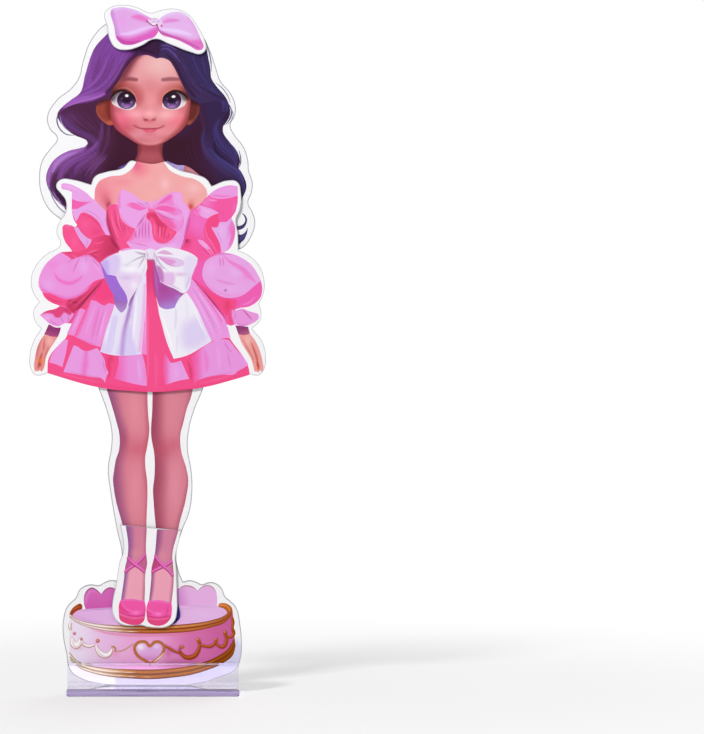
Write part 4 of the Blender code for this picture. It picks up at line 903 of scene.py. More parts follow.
# Skirt in two tiers
SKIRT = [
    cloth("-13.3,111.9! -17,106.8! -18.6,104.7 -20,103.5! -22.6,98.8 -23.5,96.4! -24.1,95.2 -25.8,93.6"
        " -28.7,89.6 -29,85.8! -14,81.6 8,80.6 14,81.6 26.6,85.2! 26.3,87 21.1,95.3! 20.8,97.4 19.6,100.4"
        " 18,103.4 15,107 10.6,112! 6,114 0,116 -6,114", "F24F8A",
        patch("-13.4,111.4 -16.6,107.4 -15,106 -12,106 -10.4,107.4 -11.6,110", "F24282", 0.8, 1),
        *lines("B42E5C", 0.8, 0.8, "-13.4,111.6 -15.4,109 -19.8,103.4"),
        brush("-28.8,86.6 -20,83.9 10,81.6 20,83.8 26.4,85.8", 1.2, "EE4480", 0.7),
        brush("-12.6,90.4 -12,87 -12.2,84", 1.8, "E83C70", 0.85),
        brush("9.4,89.6 10.2,87 10.6,83.4", 1.4, "D63A6E"), blob(-11.6, 89.8, 0.8, 1.2, "D8386C", 0.7),
        *lines("F76C9E", 0.6, 0.6, "-27,86 -20,84.3 -13.4,82.7", "12,82.7 18,84.1 23,85.6")),
    cloth("-20,103.6! -18.5,103.1! -21.6,96! -23.7,96.5! -21.4,101.2", "EC8CD4",
        *lines("F3A6E0", 0.7, 0.8, "-19.6,103 -21,99.8 -22.4,96.8"),
        *lines("E26CBC", 0.5, 0.8, "-20.4,102.8 -21.8,100 -23.2,97")),
    cloth("-17,105.8! -15.6,105.5 -14.4,104.7! -13.2,104.3 -12.6,104.8 -10.4,104.7! -11.2,103 -12.8,98"
        " -14.4,92.9! -17,93.7 -21.4,95.8!", "EA8ED6",
        brush("-17.2,105.2 -18.8,101 -20.9,96.2", [0.8, 1.5, 1.5], "EE68B6", 0.85),
        brush("-14.4,104.6 -15.8,99.6 -17,94.2", 1.7, "E478C6"),
        brush("-15.6,105 -17.4,100 -18.8,95.4", 1.2, "EEA2E0"),
        brush("-12.6,104.2 -13.8,99.4 -15,93.8", 1.2, "EFA6E4", 0.85),
        *lines("D268B8", 0.4, 0.8, "-13.2,104.2 -14.6,99.4 -15.8,95"),
        *lines("DA66B4", 0.5, 0.7, "-21,95.9 -18.6,94.6 -15,93.3")),
    cloth("-24.4,95! -23.3,94.9! -23.9,91.4 -24.9,87.4! -26.6,88.2 -28.5,88.7! -28,90.3 -26.4,92.9",
        "EA94DA"),
    cloth("-21.8,93.4! -20.6,93 -19.6,92.2 -18.1,91.8 -16.6,92.2 -15.4,92.6 -14.2,91! -13.3,89.4 -13,87.4"
        " -12.2,85.9! -12.7,85 -13.2,83.2! -13.8,84.1 -17,84.7 -24.6,86.1!", "E79ADE",
        brush("-18.4,91.6 -18.6,88.4 -19,85.4", [1.8, 3, 2.6], "EA74C6", 0.85),
        *lines("DC6ABA", 0.5, 0.7, "-24,86.4 -19,85.3 -14,84.4", "-13.8,90 -13.5,87.4 -12.8,85.6")),
    cloth("-9.6,90.5! -7.5,90.4 -3,91.1! -2.4,89 -1.5,82.2! -3,82.4 -10.5,84.2! -9.9,86.5 -9.4,88.8",
        "E892DA", ramp((-6, 87), (-10.4, 87), "EE66B6", 0.95),
        brush("-4.2,90.6 -3.8,87 -3.6,83", 2, "E8A6E4", 0.9),
        *lines("F080C0", 0.6, 0.8, "-2.6,88.6 -2.2,85 -2,82.6")),
    cloth("-3.4,113! -1.7,114! -1.7,90.8! -3.2,91! -2.9,94.6 -2.3,99 -2,104!", "ED8AD2",
        *lines("F3A6E0", 0.6, 0.8, "-2.1,108 -2,100 -2.4,92")),
    cloth("3.1,91! 3.8,90.3 4.8,88.6! 6,88.7 7.7,89.2! 9.9,84.2! 6.7,83.6 3.3,82.5! 2.8,88", "E79CE0",
        ramp((5.2, 87), (3, 87), "F060A8", 1), blob(6.4, 85.8, 0.8, 1.6, "ECAAE6", 0.7)),
    cloth("10.5,90.4! 16.2,94.3 19.2,95.1 20.9,94.8! 22.7,92.5 24.5,90.6 26.2,88.1! 24.9,87.2 23.2,86.3!"
        " 22.8,85.8 19,85.3 14.7,84.6 12.2,83.8! 11.6,83 11.2,85.6 11,88", "E796DC",
        ramp((14.6, 88), (11, 88), "F05CA6", 1), brush("14,92.6 14.8,89 14.6,85.4", 2.2, "EA7ACA"),
        brush("17.4,93.8 18.2,90 18,86", 2, "E9A2E2"),
        *lines("D070BC", 0.5, 0.85, "19.2,95 20.8,92.4 22,91.2"),
        *lines("DC74C2", 0.6, 0.7, "13,84.2 17,85.1 22.4,86", "20.4,92.6 20.8,89.6 21.6,86.6")),
    cloth("10.6,111.8! 17.2,103.8 19.2,101.2 20.4,98.6 21.3,95.4! 19.6,95.4 17.4,94.7 16.1,94.5!"
        " 11.6,103.8 10,107 9.3,108!", "E899DE", brush("10.9,111 14,107 19.6,98 20.6,95.6", 1.3, "EE86D0"),
        brush("10.4,109 13,104 17.4,95", 1.2, "EDACE8"),
        *lines("EE5EAE", 0.5, 0.85, "11,111 17.4,102.6 19.4,99"),
        *lines("F4B8EA", 0.5, 0.8, "10.9,110.2 17,100.8 19,96"),
        *lines("D876C4", 0.5, 0.8, "10.6,109.6 16.4,99.4 18,95.2")),
    cloth(thin("10.7,112 17,104.4 19.2,101.7 20.3,100.6", [0.1, 0.35, 0.1]), "B8407C")]

# White bow at the waist and its two tails
WAIST_BOW = [
    cloth("-1.8,117.4! -1.7,80.4! 3,80.4! 2.8,86 3.1,91.2! 3.8,90.5 4.7,89 5.6,89.6! 1.6,102.6 0.9,106.8!"
        " 0.4,112 0.1,117.4!", "F2508A", ramp((0, 104), (0, 114), "DB3E74", 0.95),
        *lines("F77AA8", 0.7, 0.7, "-1.4,106 -1.4,94 -1.4,82"),
        *lines("C03468", 0.6, 0.8, "0.1,116 0.2,110 0.7,105.6"),
        brush("0.6,92 0.9,87 0.7,81", 2, "F55F98", 0.7)),
    cloth("0.2,117! 4,112 8.7,107.8! 7.4,106.4 6,103.7! 4.6,103.2 2,104 1.1,105.8! 0.6,108 0.1,114",
        "AC54A6", ramp((3, 107), (4, 103.2), "A684D0", 1), blob(3, 109, 1.6, 1.5, "A84690"),
        blob(7, 106.6, 0.9, 0.8, "B080C4"), *lines("BE64B2", 0.8, 0.8, "0.5,114.6 0.9,110.6 1.6,106.4"),
        *lines("A45C9E", 0.5, 0.6, "3,109.8 5,108.9 7,107.9")),
    cloth("-7,105.2! -2,112.9! -1.8,108 -1.9,104! -3.2,91! -6,90.6 -12,90.9 -14.5,91.6! -12.8,98"
        " -10.5,104.6! -9.6,103.2 -8.7,102.4 -7.7,103.2", "E7DFF4",
        patch("-14.2,91.7 -12,91 -11,96 -10.2,101.6 -11.6,101 -13,96", "D9CCF1", 0.9, 1.2),
        patch("-9.8,90.5 -4.4,90.7 -5.4,95 -6.4,99 -7.6,97", "D6C9F2", 0.9, 1.4),
        brush("-5.4,106.6 -6.6,102 -7.9,97.2 -8.5,91", [0.8, 2.4, 2.4, 2], "BE98D4", 0.9),
        brush("-5,108 -5.8,106 -6.8,102 -8.2,96", [0.8, 1.4, 1.2, 0.6, 0.2], "A17CC0", 0.8),
        brush("-4.5,109.2 -5.6,107 -6.6,104.4", [0.6, 1.4, 0.5], "8C5099", 0.9),
        brush("-2.2,110 -2.5,102 -3.6,92", [1.4, 2.4, 2], "EAB4E2", 0.9),
        brush("-4.4,108 -4.8,102 -5.6,94", 1.4, "F4F0F8", 0.9),
        *lines("CDBFE6", 0.5, 0.8, "-9.8,101.8 -10.6,97 -11,91.4"),
        *lines("F6F4FA", 0.7, 0.8, "-11.2,101.6 -12.4,97 -13.4,92.4"),
        *lines("D4C6E8", 0.7, 0.7, "-5,106 -5.6,101 -6.4,95.6")),
    cloth("-10.9,106.8! -9.8,107.2 -8.4,106 -7,105.1! -7.6,103.3 -8.7,102.4 -9.6,103.2 -10.5,104.8",
        "9C6AB8", ramp((-9, 105.8), (-8.9, 102.6), "B08CCA", 0.95)),
    cloth("0.9,106.6! 2,103.9 3.6,103.3 5.9,103.7! 7,106 8.4,107.4! 9.2,108! 10.2,106.6 16.1,94.5!"
        " 8.4,90.3 5.7,89.7! 4.3,92.9 1.7,101.8!", "EEEAF5",
        patch("8.6,99.4 12.4,101 15.2,95.2 13,93 9,92.6", "DACBEE", 0.9, 4),
        brush("6.2,104.6 6.3,100.6 5.9,97", 1.2, "DCD2EA", 0.85),
        brush("8.8,107 9.4,102.4 9,98", 1.2, "E6DFF1"),
        brush("2.2,103.6 3.4,99 5,94 6,90.4", 0.9, "FBFAFC", 0.9),
        brush("5.6,103.8 6.4,105.2 7.6,106.8", 0.9, "CBB0E0"),
        *lines("DDD3EC", 0.7, 0.7, "6.6,97 6.6,94 6.4,91"),
        *lines("FAF9FC", 0.6, 0.8, "10.8,104 13,99.4 15,95.4")),
    cloth("-14.3,116.2! -12.4,117.6 -10.2,118.6 -4,119.75 -2.6,119.5 -2,119.2! -1.7,117 -1.6,114.6!"
        " -2.4,112.4 -3.8,110 -6.8,105.2! -7.6,105.3 -8.6,106.1 -10,107.8 -11.8,109.8 -14,114.3", "EDE8F4",
        patch("-14.4,116.2 -11,118.4 -9.4,118 -9,115 -10,112.4 -12.6,112.6", "D8C5EF", 0.95, 1.6),
        patch("-14.4,116 -12.6,116.8 -12,114.6 -12.4,112.4 -13.4,113.4", "C2A6E8", 0.8, 1.4),
        patch("-10.2,113 -4,113.2 -2.4,112 -5.6,107 -7,105.4 -8.8,108", "E6CDEC", 0.9, 1.8),
        blob(-7.4, 112, 1.8, 0.6, "D3BEE3"), blob(-5.2, 109.8, 1, 1.2, "F1EDF6"),
        blob(-7.2, 115.4, 1, 0.45, "D9CDE6", 0.85),
        brush("-2.1,118.4 -3.4,118.6 -5,119.1", [0.9, 0.8, 0.2], "A890A6", 0.9),
        brush("-2.2,117.9 -3.6,117.5 -6.6,116", [0.9, 0.7, 0.5, 0.1], "B09CB0", 0.9),
        brush("-2.5,117.2 -3.2,116.2 -4.2,114.4", [0.9, 0.7, 0.1], "BCABC2", 0.9),
        *lines("A28EA6", 0.5, 0.9, "-2.4,119.2 -2,118 -1.6,116.6"),
        blob(-6.2, 114.2, 1.9, 0.9, "F5F2F9", 0.95),
        *lines("D8CCE4", 0.7, 0.7, "-2,115.8 -2.8,113.4 -4,111")),
    cloth("-14.5,116.2! -13.3,112 -10.8,107! -8.6,105.6 -6.9,105.2! -7.2,106.8 -9.4,110.6 -10.2,112.4!"
        " -11.4,112.7 -12.4,112.8 -13.3,114.2", "9F6AD2", ramp((-11.4, 112.4), (-8, 106), "9A6CCE", 0.8)),
    cloth("0.5,119.2! 2,120 7.5,119.7 11.5,118 12.3,117.3! 12.1,116.2 11.3,114.4 10.6,112.2! 9.6,108.6"
        " 9.1,108! 8.3,107.7 7,108.3 6,108.9 5,109.3 4,109.7 3,110.2 2,110.8! 0.5,116.8", "EDE9F3",
        patch("1.6,114.4 3,113.5 5.6,113.3 6,112.2 5.4,110 4,109.8 2,111", "E2B4E4", 0.9, 1),
        patch("1.2,115.4 2.3,114.6 2.5,110.6 1.8,111.4", "BE78B8", 0.9, 0.5),
        patch("9.4,118 12.2,117.2 11.2,114 10.4,111 9.4,108.4 8.6,112", "E2D6F0", 0.9, 1.6),
        blob(7.6, 112.9, 1.6, 0.5, "D9B8D9", 0.85),
        brush("3,110.6 5.2,109.8 8.2,108.2", 0.9, "DDB6DC", 0.9),
        brush("0.7,118 2.2,115.4 4.4,113.6", [0.9, 0.9, 0.2], "BFA6CA", 0.9),
        blob(5, 114.2, 1.4, 0.6, "F2EFF7"), *lines("CDB6E0", 0.7, 0.8, "8.6,108.4 9.6,110.6 10.4,113"),
        *lines("BBA0C6", 0.6, 0.8, "0.9,118 0.8,115.6 1.4,113")),
    cloth("0.9,118! 5,117.6 7,117.2 8.4,116.5 8.6,115.7 7.6,115.1 4.4,115.3 2.8,116.4", "DFC2E6",
        patch("1.2,117.8 3,117.4 5,117 6.3,116.4 5.4,115.7 2.6,116.6", "E095D0", 0.95, 0.6),
        *lines("C588BC", 0.6, 0.8, "1.2,117.7 4.6,115.5 6.6,115.2")),
    cloth("0.9,118.7! 3.2,119.5 5.7,118.3! 3.8,118.3", "DDAAD3"),
    cloth("-2.2,119.5! -0.8,120 0.6,119.6! 0.8,118.6 0.5,117.2 0.3,116.6 -1.5,116.6", "E9DDEF",
        ramp((-0.6, 117.4), (-0.6, 116.6), "B2487E", 0.95),
        *lines("B9A6C2", 0.5, 0.85, "-1.7,119.4 -1.5,118.2 -1.3,117", "0.4,119.3 0.4,118.2 0.2,117"))]

# Pink under the sleeves' folds, so that no white shows between them
SLEEVE_GROUNDS = [
    cloth("-25.1,137.8! -22.3,137.1 -16.2,133.3 -13,130 -12.8,127 -9.3,119.4! -9,105 -22,99.4 -24,99.6"
        " -23,103 -25,104.4 -30.2,108 -31.2,111 -25.2,118.6 -22.3,119 -24.2,122 -24.8,125 -24.2,126.4"
        " -22.3,126.3 -21.4,125.8 -20.9,126.3 -21.6,127.6 -22.2,129.8 -22.2,135.5 -25,136.3!", "E4558F"),
    cloth("23.2,137.1! 18.8,136.5 15.3,134.6 12.8,132.2 10.3,130.3! 9,126 7.6,119.8! 8,105 19.6,99.4"
        " 21.6,98.8 22.5,103 24,104.1 28,106 29.6,109 28.6,113 25,117 18.6,118.8 20,119.2 22.6,125"
        " 21.6,128.5 22.6,130 23.2,133!", "EE60A8")]


# Hair bow
def bow_areas():
    left = Area("-11.7,184.6 -11.4,185.6 -10,186.1 -5.5,185.7 -1,183.5 0.5,182.6 1.6,180 0.3,178 -2,177.2"
        " -6.5,175.8 -8.5,176.1 -9.8,177.2 -10.7,181 -11.3,183", "E0A8E4",
        brush("-11.4,185.4 -8,186.4 -5,185.7 -2,184.2", [1.4, 2.4, 2.8, 2], "E2C4F0"),
        brush("-11.4,185 -10.2,179.4 -9.6,177.6", [2.2, 2.8, 3, 2.4], "CB88D2"),
        blob(-8.4, 182.4, 1.6, 2, "E29CE0", 0.6),
        patch("-6,183.6 -4,184.2 -1.6,183.2 -0.8,182.3 -3,182.5", "E474C6", 0.9, 0.9),
        patch("-9.8,178 -7,177.8 -2,179.2 1.4,180.6 1.6,178.6 -2,177 -6,175.6 -9.6,176.2", "DC5CBC", 0.95,
        1.8), brush("-9.8,178 -8.2,176.7 -6,176.4 -3.6,177", [0.8, 1.8, 1.6, 0.6], "B8449C", 0.75),
        brush("-9,178.8 -6.6,179.1 -1.6,180.6 0.6,181", [0.5, 1.7, 2, 1.6, 0.6], "EAC8F8", 0.9),
        grain=0.25)
    right = Area("1.9,183 3,184 8.7,184.5 10.2,183 13.2,177.3 13.9,175.4 13.5,174.6 12.4,174.4 10,175.6"
        " 7,177.1 4.5,177.9 2.5,178.5 1.6,179.6 1.7,181.5", "E3B2E9",
        brush("2.2,183.6 4.8,184.8 7.4,185 9.2,184", [1.2, 2.4, 2.4, 1.4], "E6CEF4", 0.85),
        brush("10,183.4 11.8,180.4 13.2,177.2", [1.6, 2, 1.6], "DCA2DC"),
        patch("2.4,182.1 4,183 7.4,182.6 5.4,182.1", "E080CE", 0.9, 0.9),
        patch("2.2,178.9 5,178.6 8,178 10.6,177.2 12.6,177.4 13.8,177.6 14.2,175 13,174.2 8,176.4",
        "E070C2", 0.95, 1.4), brush("1.6,179.9 4,178.7 7,177.6 12.6,175", [0.6, 1, 1, 1, 0.8], "B850A0"),
        brush("2,180.3 7.8,179.4 10.6,178.6", [0.5, 1.7, 2, 0.8], "EBD0FA", 0.95), grain=0.25)
    knot = Area("0.8,183.2 2,182.9 2.6,182 1.5,180.6 0.9,181.2 0.2,181.2 -1.4,182.4 -0.8,183.2", "E8CCEC",
        *[blob(x, h, 0.34, 0.24, "B888BC", 0.7)
            for x, h in ((-0.7, 183), (0.6, 183.1), (1.5, 182.3), (0.2, 182.2))],
        blob(0.2, 181.7, 0.5, 0.3, "FAF2FA"), grain=0.15)
    beads = (-1.6, 182.25, 0.26, "A02850"), (1.05, 181.4, 0.28, "A83468"), (2.35, 181.15, 0.28, "B04480")
    dots = [Area(ellipse(x, h, size, size), ink, grain=0.14) for x, h, size, ink in beads]
    seams = [
        Area(thin("-2,182.5 -1.2,182 0.3,181.1 1,181.4", [0.1, 0.3, 0.3, 0.15]), "A03C6C", grain=0.2),
        Area(thin("1.1,181.5 1.8,179.6 5,178.2", [0.3, 0.28, 0.26, 0.1]), "B04890", grain=0.2)]
    return border("bow_card") + [left, right, knot] + dots + seams


# Ballet shoes with their ribbons, on the part of the legs that is printed with them
def shoes_areas():
    left = Area("-7.5,43.9! -6.8,38.3 -7,35.4 -7.7,32.2 -7.9,30 -8.8,23.4! -2.3,23.2! -2.2,26.5 -2.1,30.8"
        " -1.6,33.6 -1.9,36.5 -1.7,43.4!", "D37F9A",
        patch("-8.4,31 -5,32.6 -2,31 -2,22 -9.4,22", "EEA3B7", 0.95, 1),
        brush("-7.4,44.6 -6.9,37 -7.4,33 -8.8,23", [5.6, 5, 4.2, 3, 3, 2.8], "865090", 0.85),
        brush("-1.8,44 -1.8,38 -2.3,23", [2.4, 2.4, 2.2, 2.2], "B2647C"),
        patch("-2.1,35.2 -4.8,33.4 -2.1,31.6", "BE5A8C", 0.75, 0.6),
        patch("-7.2,34.8 -5.2,33.3 -7.8,31.6", "C65896", 0.75, 0.6),
        blob(-4.6, 36.4, 1.4, 1.2, "DA8A98", 0.7), grain=0.25)
    right = Area("1.1,42.9! 0.35,35.4 -0.4,32.2 -0.5,29.3 -1.1,23.2! 5.1,22.7! 5.7,29.3 5.6,32.2 5.3,35.4"
        " 7,42.7!", "D07F9C", patch("-0.8,31 2.7,32.2 6,30.2 5.4,21.6 -1.2,22", "EEA3B7", 0.95, 1),
        brush("1.1,43.4 0.9,39.6 -0.4,31 -0.6,27 -1.1,23", [5, 4.6, 3.4, 2.8, 2.6, 2], "8C4A7E", 0.85),
        brush("7,43 5.8,38.8 5.4,34.6 5.7,29 5.1,22.6", [2, 2, 2, 2.2, 2.2], "B06880"),
        patch("0,35.4 2.6,33 -0.4,31.6", "BC3C74", 0.8, 0.6), blob(2.9, 35.8, 1.2, 1.2, "DE8C9A", 0.7),
        grain=0.25)
    ribbons = []
    for path in ("-7.8,31.2 -6.6,32.2 -5,33.3 -3.4,34.6 -2,36.2",
        "-7,35.4 -6,34.2 -5,33.4 -3.6,32.4 -2.2,31.2", "-0.4,31.2 1,32 2.9,32.9 4.2,33.5 5.3,34.4",
        "0.5,35.9 1.6,34.2 2.9,32.9 4.2,31.8 5.6,30.2"):
        ribbons.append(Area(thin(path, [0.7, 0.7]) - (0, 0.28), "A8386E", grain=0.2))
        ribbons.append(Area(thin(path, [0.6, 0.62, 0.7, 0.62, 0.6]), "DC58AC",
            brush(path, [0.3, 0.5, 0.7, 0.5, 0.3], "EA86D4"), grain=0.2))
    shoes = []
    left_shoe = ("-8.9,23.5! -6,23.8 -2.3,23.2! -2,21.6 -2.1,19.6 -2.6,17.6 -3.4,16.9 -4.8,16.6 -7,16.9"
        " -9,18 -9.4,20.4 -9.3,22.4", "-9.8,19.6 -7.2,18.9 -4.9,18.5 -1.7,19.1 -2,16.4 -5,15.8 -9.6,16.8")
    right_shoe = ("-1.2,23.3! 2,23.4 5.1,22.7! 5.2,20.7 4.8,18.4 3.4,16.9 0.9,16.4 -1.3,17.4 -1.8,19.6"
        " -1.8,21.4", "-2.4,19.3 0.9,18.2 5.4,19 5,16.6 2,15.6 -2,16.4")
    for shift, (outline, sole) in enumerate((left_shoe, right_shoe)):
        toe = np.array([6.1, -0.35]) * shift
        side = line("-9.6,20.4 -7.2,19.4 -4.9,19 -1.9,19.5", False) + toe
        shoes.append(Area(outline, "F158A6",
            brush(line("-9,23.4 -6,23.6 -2,23.1", False) + toe, [0.9, 1.1, 0.9], "F070C4", 0.85),
            brush(line("-9.5,22.6 -8.6,21 -6.6,19.9", False) + toe, [1.6, 1.8, 0.6], "E0407E"),
            brush(line("-2,22.6 -2.1,21 -2.8,19.4", False) + toe, [0.2, 1.2, 0.3], "E2447E", 0.6),
            brush(line("-8.6,22.6 -7,20.9 -4.8,20.1 -2.8,20.6", False) + toe, [0.4, 1, 1, 0.4], "F470BE",
            0.6), patch(sole, "E3477F", 0.95, 0.4),
            brush(side, [0.6, 0.6], "C23474"), brush(side - (0, 0.6), [0.6, 0.6], "EE7CAA", 0.7),
            blob(-4.7 + toe[0], 19.95 + toe[1], 0.9, 0.45, "FA84CC", 0.9), grain=0.22))
    return border("shoes_card") + [left, right] + ribbons + shoes


# Slip, arms and chest that the clothes cover
BODY_GRAIN = 0.6
BODY_MIDDLE = -0.8


def mirrored(path):
    """The same points on the other side of the doll's middle line."""
    points = (word.split(",") for word in path.split())
    return " ".join(f"{2 * BODY_MIDDLE - float(x)},{h}" for x, h in points)


def body_under_clothes():
    arm = ("-14,137.4 -16.6,134.6 -18.4,128 -19.6,120 -20.8,110 -21.4,100 -21.6,94 -21,91 -19.8,91.2"
        " -18.6,94 -17.6,100 -16.4,110 -14.8,120 -12.6,128")
    arm_shade = "-17,133 -19.4,120 -21.2,100 -21.4,93"
    chest = "-16,136 -12.5,139.8 3.4,143 10.8,139.6 14.4,136 13,131 10,127 -11.6,127 -14.6,131"
    straps = "-8.6,133.4 -8.8,137 -8.6,142", "6.4,133.6 6.9,137 7,142.4"
    slip = ("-10.6,132.6! -7.6,134.4 -4,133 -0.8,131.8 2.4,133 6,134.4 9,132.6! 8.6,126 7.4,121 8.6,112"
        " 11.6,100 13.6,90 14.6,86! 8,84.6 -9.6,84.6 -16.2,86! -15.2,90 -13.2,100 -10.2,112 -9,121"
        " -10.2,126")
    folds = ("-6,131 -7,120 -9,104 -12,88", "-2.6,130 -3,118 -4,102 -5,86", "1.4,130 1.6,118 2.4,102 3.4,86",
        "5,131 5.6,120 7.4,104 10,88")
    lights = ("-4.4,130 -5,118 -6.6,102 -8.4,87", "3.2,130 3.6,118 5,102 6.8,87",
        "-0.6,130 -0.7,116 -0.8,86")
    waist = "-9,121 -0.8,120.2 7.4,121"
    hem = "-16,86.4 -8,85 -0.8,84.4 6.4,85 14.4,86.4"
    return [
        Area(arm, "E79E9C", brush(arm_shade, 2, "C26E78", 0.7), grain=BODY_GRAIN),
        Area(mirrored(arm), "E79E9C", brush(mirrored(arm_shade), 2, "C8787E", 0.7), grain=BODY_GRAIN),
        Area(chest, "EBA2A0", blob(-4, 140, 2, 1.6, "E08088", 0.6), grain=BODY_GRAIN),
        *[Area(thin(path, [1.1, 1.1]), "B4A2DC", grain=0.4) for path in straps],
        Area(slip, "C6B9E8", *[brush(path, 1.2, "A896D6", 0.6) for path in folds],
            *[brush(path, 1.4, "DCD2F4", 0.6) for path in lights], brush(waist, 1.2, "9A86CC", 0.7),
            brush(hem, 0.9, "8F7CC6", 0.7), grain=BODY_GRAIN)]


# Everything printed on the doll and on the dress, from the bottom layer up
def border(node, *marks, ink="C6C5CC", width=0.2):
    """The white card of a sheet, inside a thin grey line along its outline: painted shade of the cut edge,
    partly edge wear.
    """
    outline = front_outline(node)
    onward = np.roll(outline, -1, 0)
    slope = onward - np.roll(outline, 1, 0)
    side = slope[:, ::-1] * (-1, 1) / np.linalg.norm(slope, axis=1)[:, None]
    turning = np.sign((outline[:, 0] * onward[:, 1] - outline[:, 1] * onward[:, 0]).sum())
    return [
        # This first area's ink shows as the grey outline: painted shade along the cut edge, partly edge wear
        Area(outline, ink, grain=PLAIN_GRAIN),
        Area(outline + side * turning * width, CARD_WHITE, *marks, grain=PLAIN_GRAIN)]


def doll_areas():
    # Violet patch at the foot of the card: painted shade, the tint of the card seen through the clear holder
    painted_holder_tint = "-10.2,0 -10.2,3 0,2 18,6 22,9 23,13 24.4,10 23.8,6 20,2.6 12,0.2 0,-0.4"
    # The doll's darker grey outline is painted shade along its cut edge, partly edge wear
    card = border("doll_front_card", patch(painted_holder_tint, "D5D1EE", 0.9, 0.8), ink="B0AFB6", width=0.26)
    body = LEGS + body_under_clothes()
    head = HAIR_BACK + loose_strands() + NECK_AND_EARS + face() + eyes() + HAIR_FRONT
    return card + pedestal_back() + body + pedestal() + head


def dress_areas():
    sleeves = LEFT_SLEEVE + RIGHT_SLEEVE
    return border("dress_card") + SLEEVE_GROUNDS + SKIRT + CHEST + BODICE + sleeves + WAIST_BOW


# Die-cut lines. A sharper turn than this is a corner, in degrees; the other two are in millimetres
CORNER_TURN = 38
SAME_POINT = 0.02
SAME_PLANE = 1e-3


def corners(mesh):
    """The places of a mesh's corners, one row each."""
    flat = np.empty(len(mesh.vertices) * 3)
    mesh.vertices.foreach_get("co", flat)
    return flat.reshape(-1, 3)


def boundary(faces):
    """The corners around a set of joined faces, in order."""
    sides = {}
    for face in faces:
        for side in zip(face, face[1:] + face[:1]):
            if side[::-1] in sides:
                del sides[side[::-1]]
            else:
                sides[side] = True
    onward = dict(sides.keys())
    loop = [next(iter(onward))]
    while onward[loop[-1]] != loop[0]:
        loop.append(onward[loop[-1]])
    return np.array(loop)


def front_outline(node):
    """The die-cut line of a CAD sheet, in drawing millimetres, made smooth between its corners."""
    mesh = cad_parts[node].data
    places = np.round(corners(mesh) / MM, 4)
    front = places[:, 1].min()
    faces = [[tuple(places[i]) for i in face.vertices] for face in mesh.polygons]
    faces = [face for face in faces if all(abs(corner[1] - front) < SAME_PLANE for corner in face)]
    points = boundary(faces)[:, (0, 2)] - (0, FOOT / MM)
    keep = np.linalg.norm(points - np.roll(points, 1, 0), axis=1) > SAME_POINT
    low, high = (np.array((corner.x, corner.z - FOOT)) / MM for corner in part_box(node))
    return np.clip(cornered(points[keep]), low, high)


def cornered(points):
    """A smooth closed line through the points, with a corner where the line turns sharply."""
    ahead = np.roll(points, -1, 0) - points
    back = points - np.roll(points, 1, 0)
    cross = back[:, 0] * ahead[:, 1] - back[:, 1] * ahead[:, 0]
    sharp = abs(np.degrees(np.arctan2(cross, (ahead * back).sum(1)))) > CORNER_TURN
    return line(" ".join(f"{x},{h}{'!' if corner else ''}" for (x, h), corner in zip(points, sharp)))


# Printed cards. The rows of a triangle grid are this many grains apart, and the nets join closer points
ROW_STEP = 0.866
FRONT_WELD = 1e-5
BACK_WELD = 1e-7


def seeds(areas, sheet):
    """Points inside each shape for the printed colour, as fine as that shape asks for."""
    out = []
    for place, area in enumerate(areas):
        low, high = area.edge.min(0), area.edge.max(0)
        rows = np.arange(low[1], high[1], area.grain * ROW_STEP)
        across = np.arange(low[0], high[0], area.grain)
        grid = np.concatenate([
            np.stack([across + area.grain / 2 * (n % 2), np.full(len(across), row)], 1)
            for n, row in enumerate(rows)])
        grid = grid[inside(grid, area.edge)]
        for above in areas[place + 1:]:
            if len(grid):
                grid = grid[~inside(grid, above.edge)]
        out.append(grid)
    points = np.concatenate(out)
    return points[inside(points, sheet)]


def closed_sides(size):
    """The sides of a closed line with that many points."""
    return [(i, (i + 1) % size) for i in range(size)]


def printed_mesh(areas):
    """A flat triangle net over the sheet with every printed edge in it, and the ink at each corner."""
    sheet = areas[0].edge
    points, edges = [], []
    for area in areas:
        first = len(points)
        points.extend(area.edge.tolist())
        edges.extend((first + a, first + b) for a, b in closed_sides(len(area.edge)))
    points.extend(seeds(areas, sheet).tolist())
    net = delaunay_2d_cdt([Vector(p) for p in points], edges, [], 0, FRONT_WELD)
    places = np.array([tuple(v) for v in net[0]])
    faces = np.array([tuple(f) for f in net[2]])
    centres = places[faces].mean(1)
    kept = inside(centres, sheet)
    faces, centres = faces[kept], centres[kept]
    top = np.zeros(len(faces), int)
    for place, area in enumerate(areas):
        top[inside(centres, area.edge)] = place
    ink = np.ones((len(faces), 3, 4))
    for place, area in enumerate(areas):
        mine = np.flatnonzero(top == place)
        if len(mine):
            used, back = np.unique(faces[mine], return_inverse=True)
            ink[mine, :, :3] = linear(area.shades(places[used]))[back.reshape(-1, 3)]
    return places, faces, ink


def linear(colour):
    """Screen colour as amounts of light."""
    return np.where(colour <= 0.04045, colour / 12.92, ((colour + 0.055) / 1.055) ** 2.4)


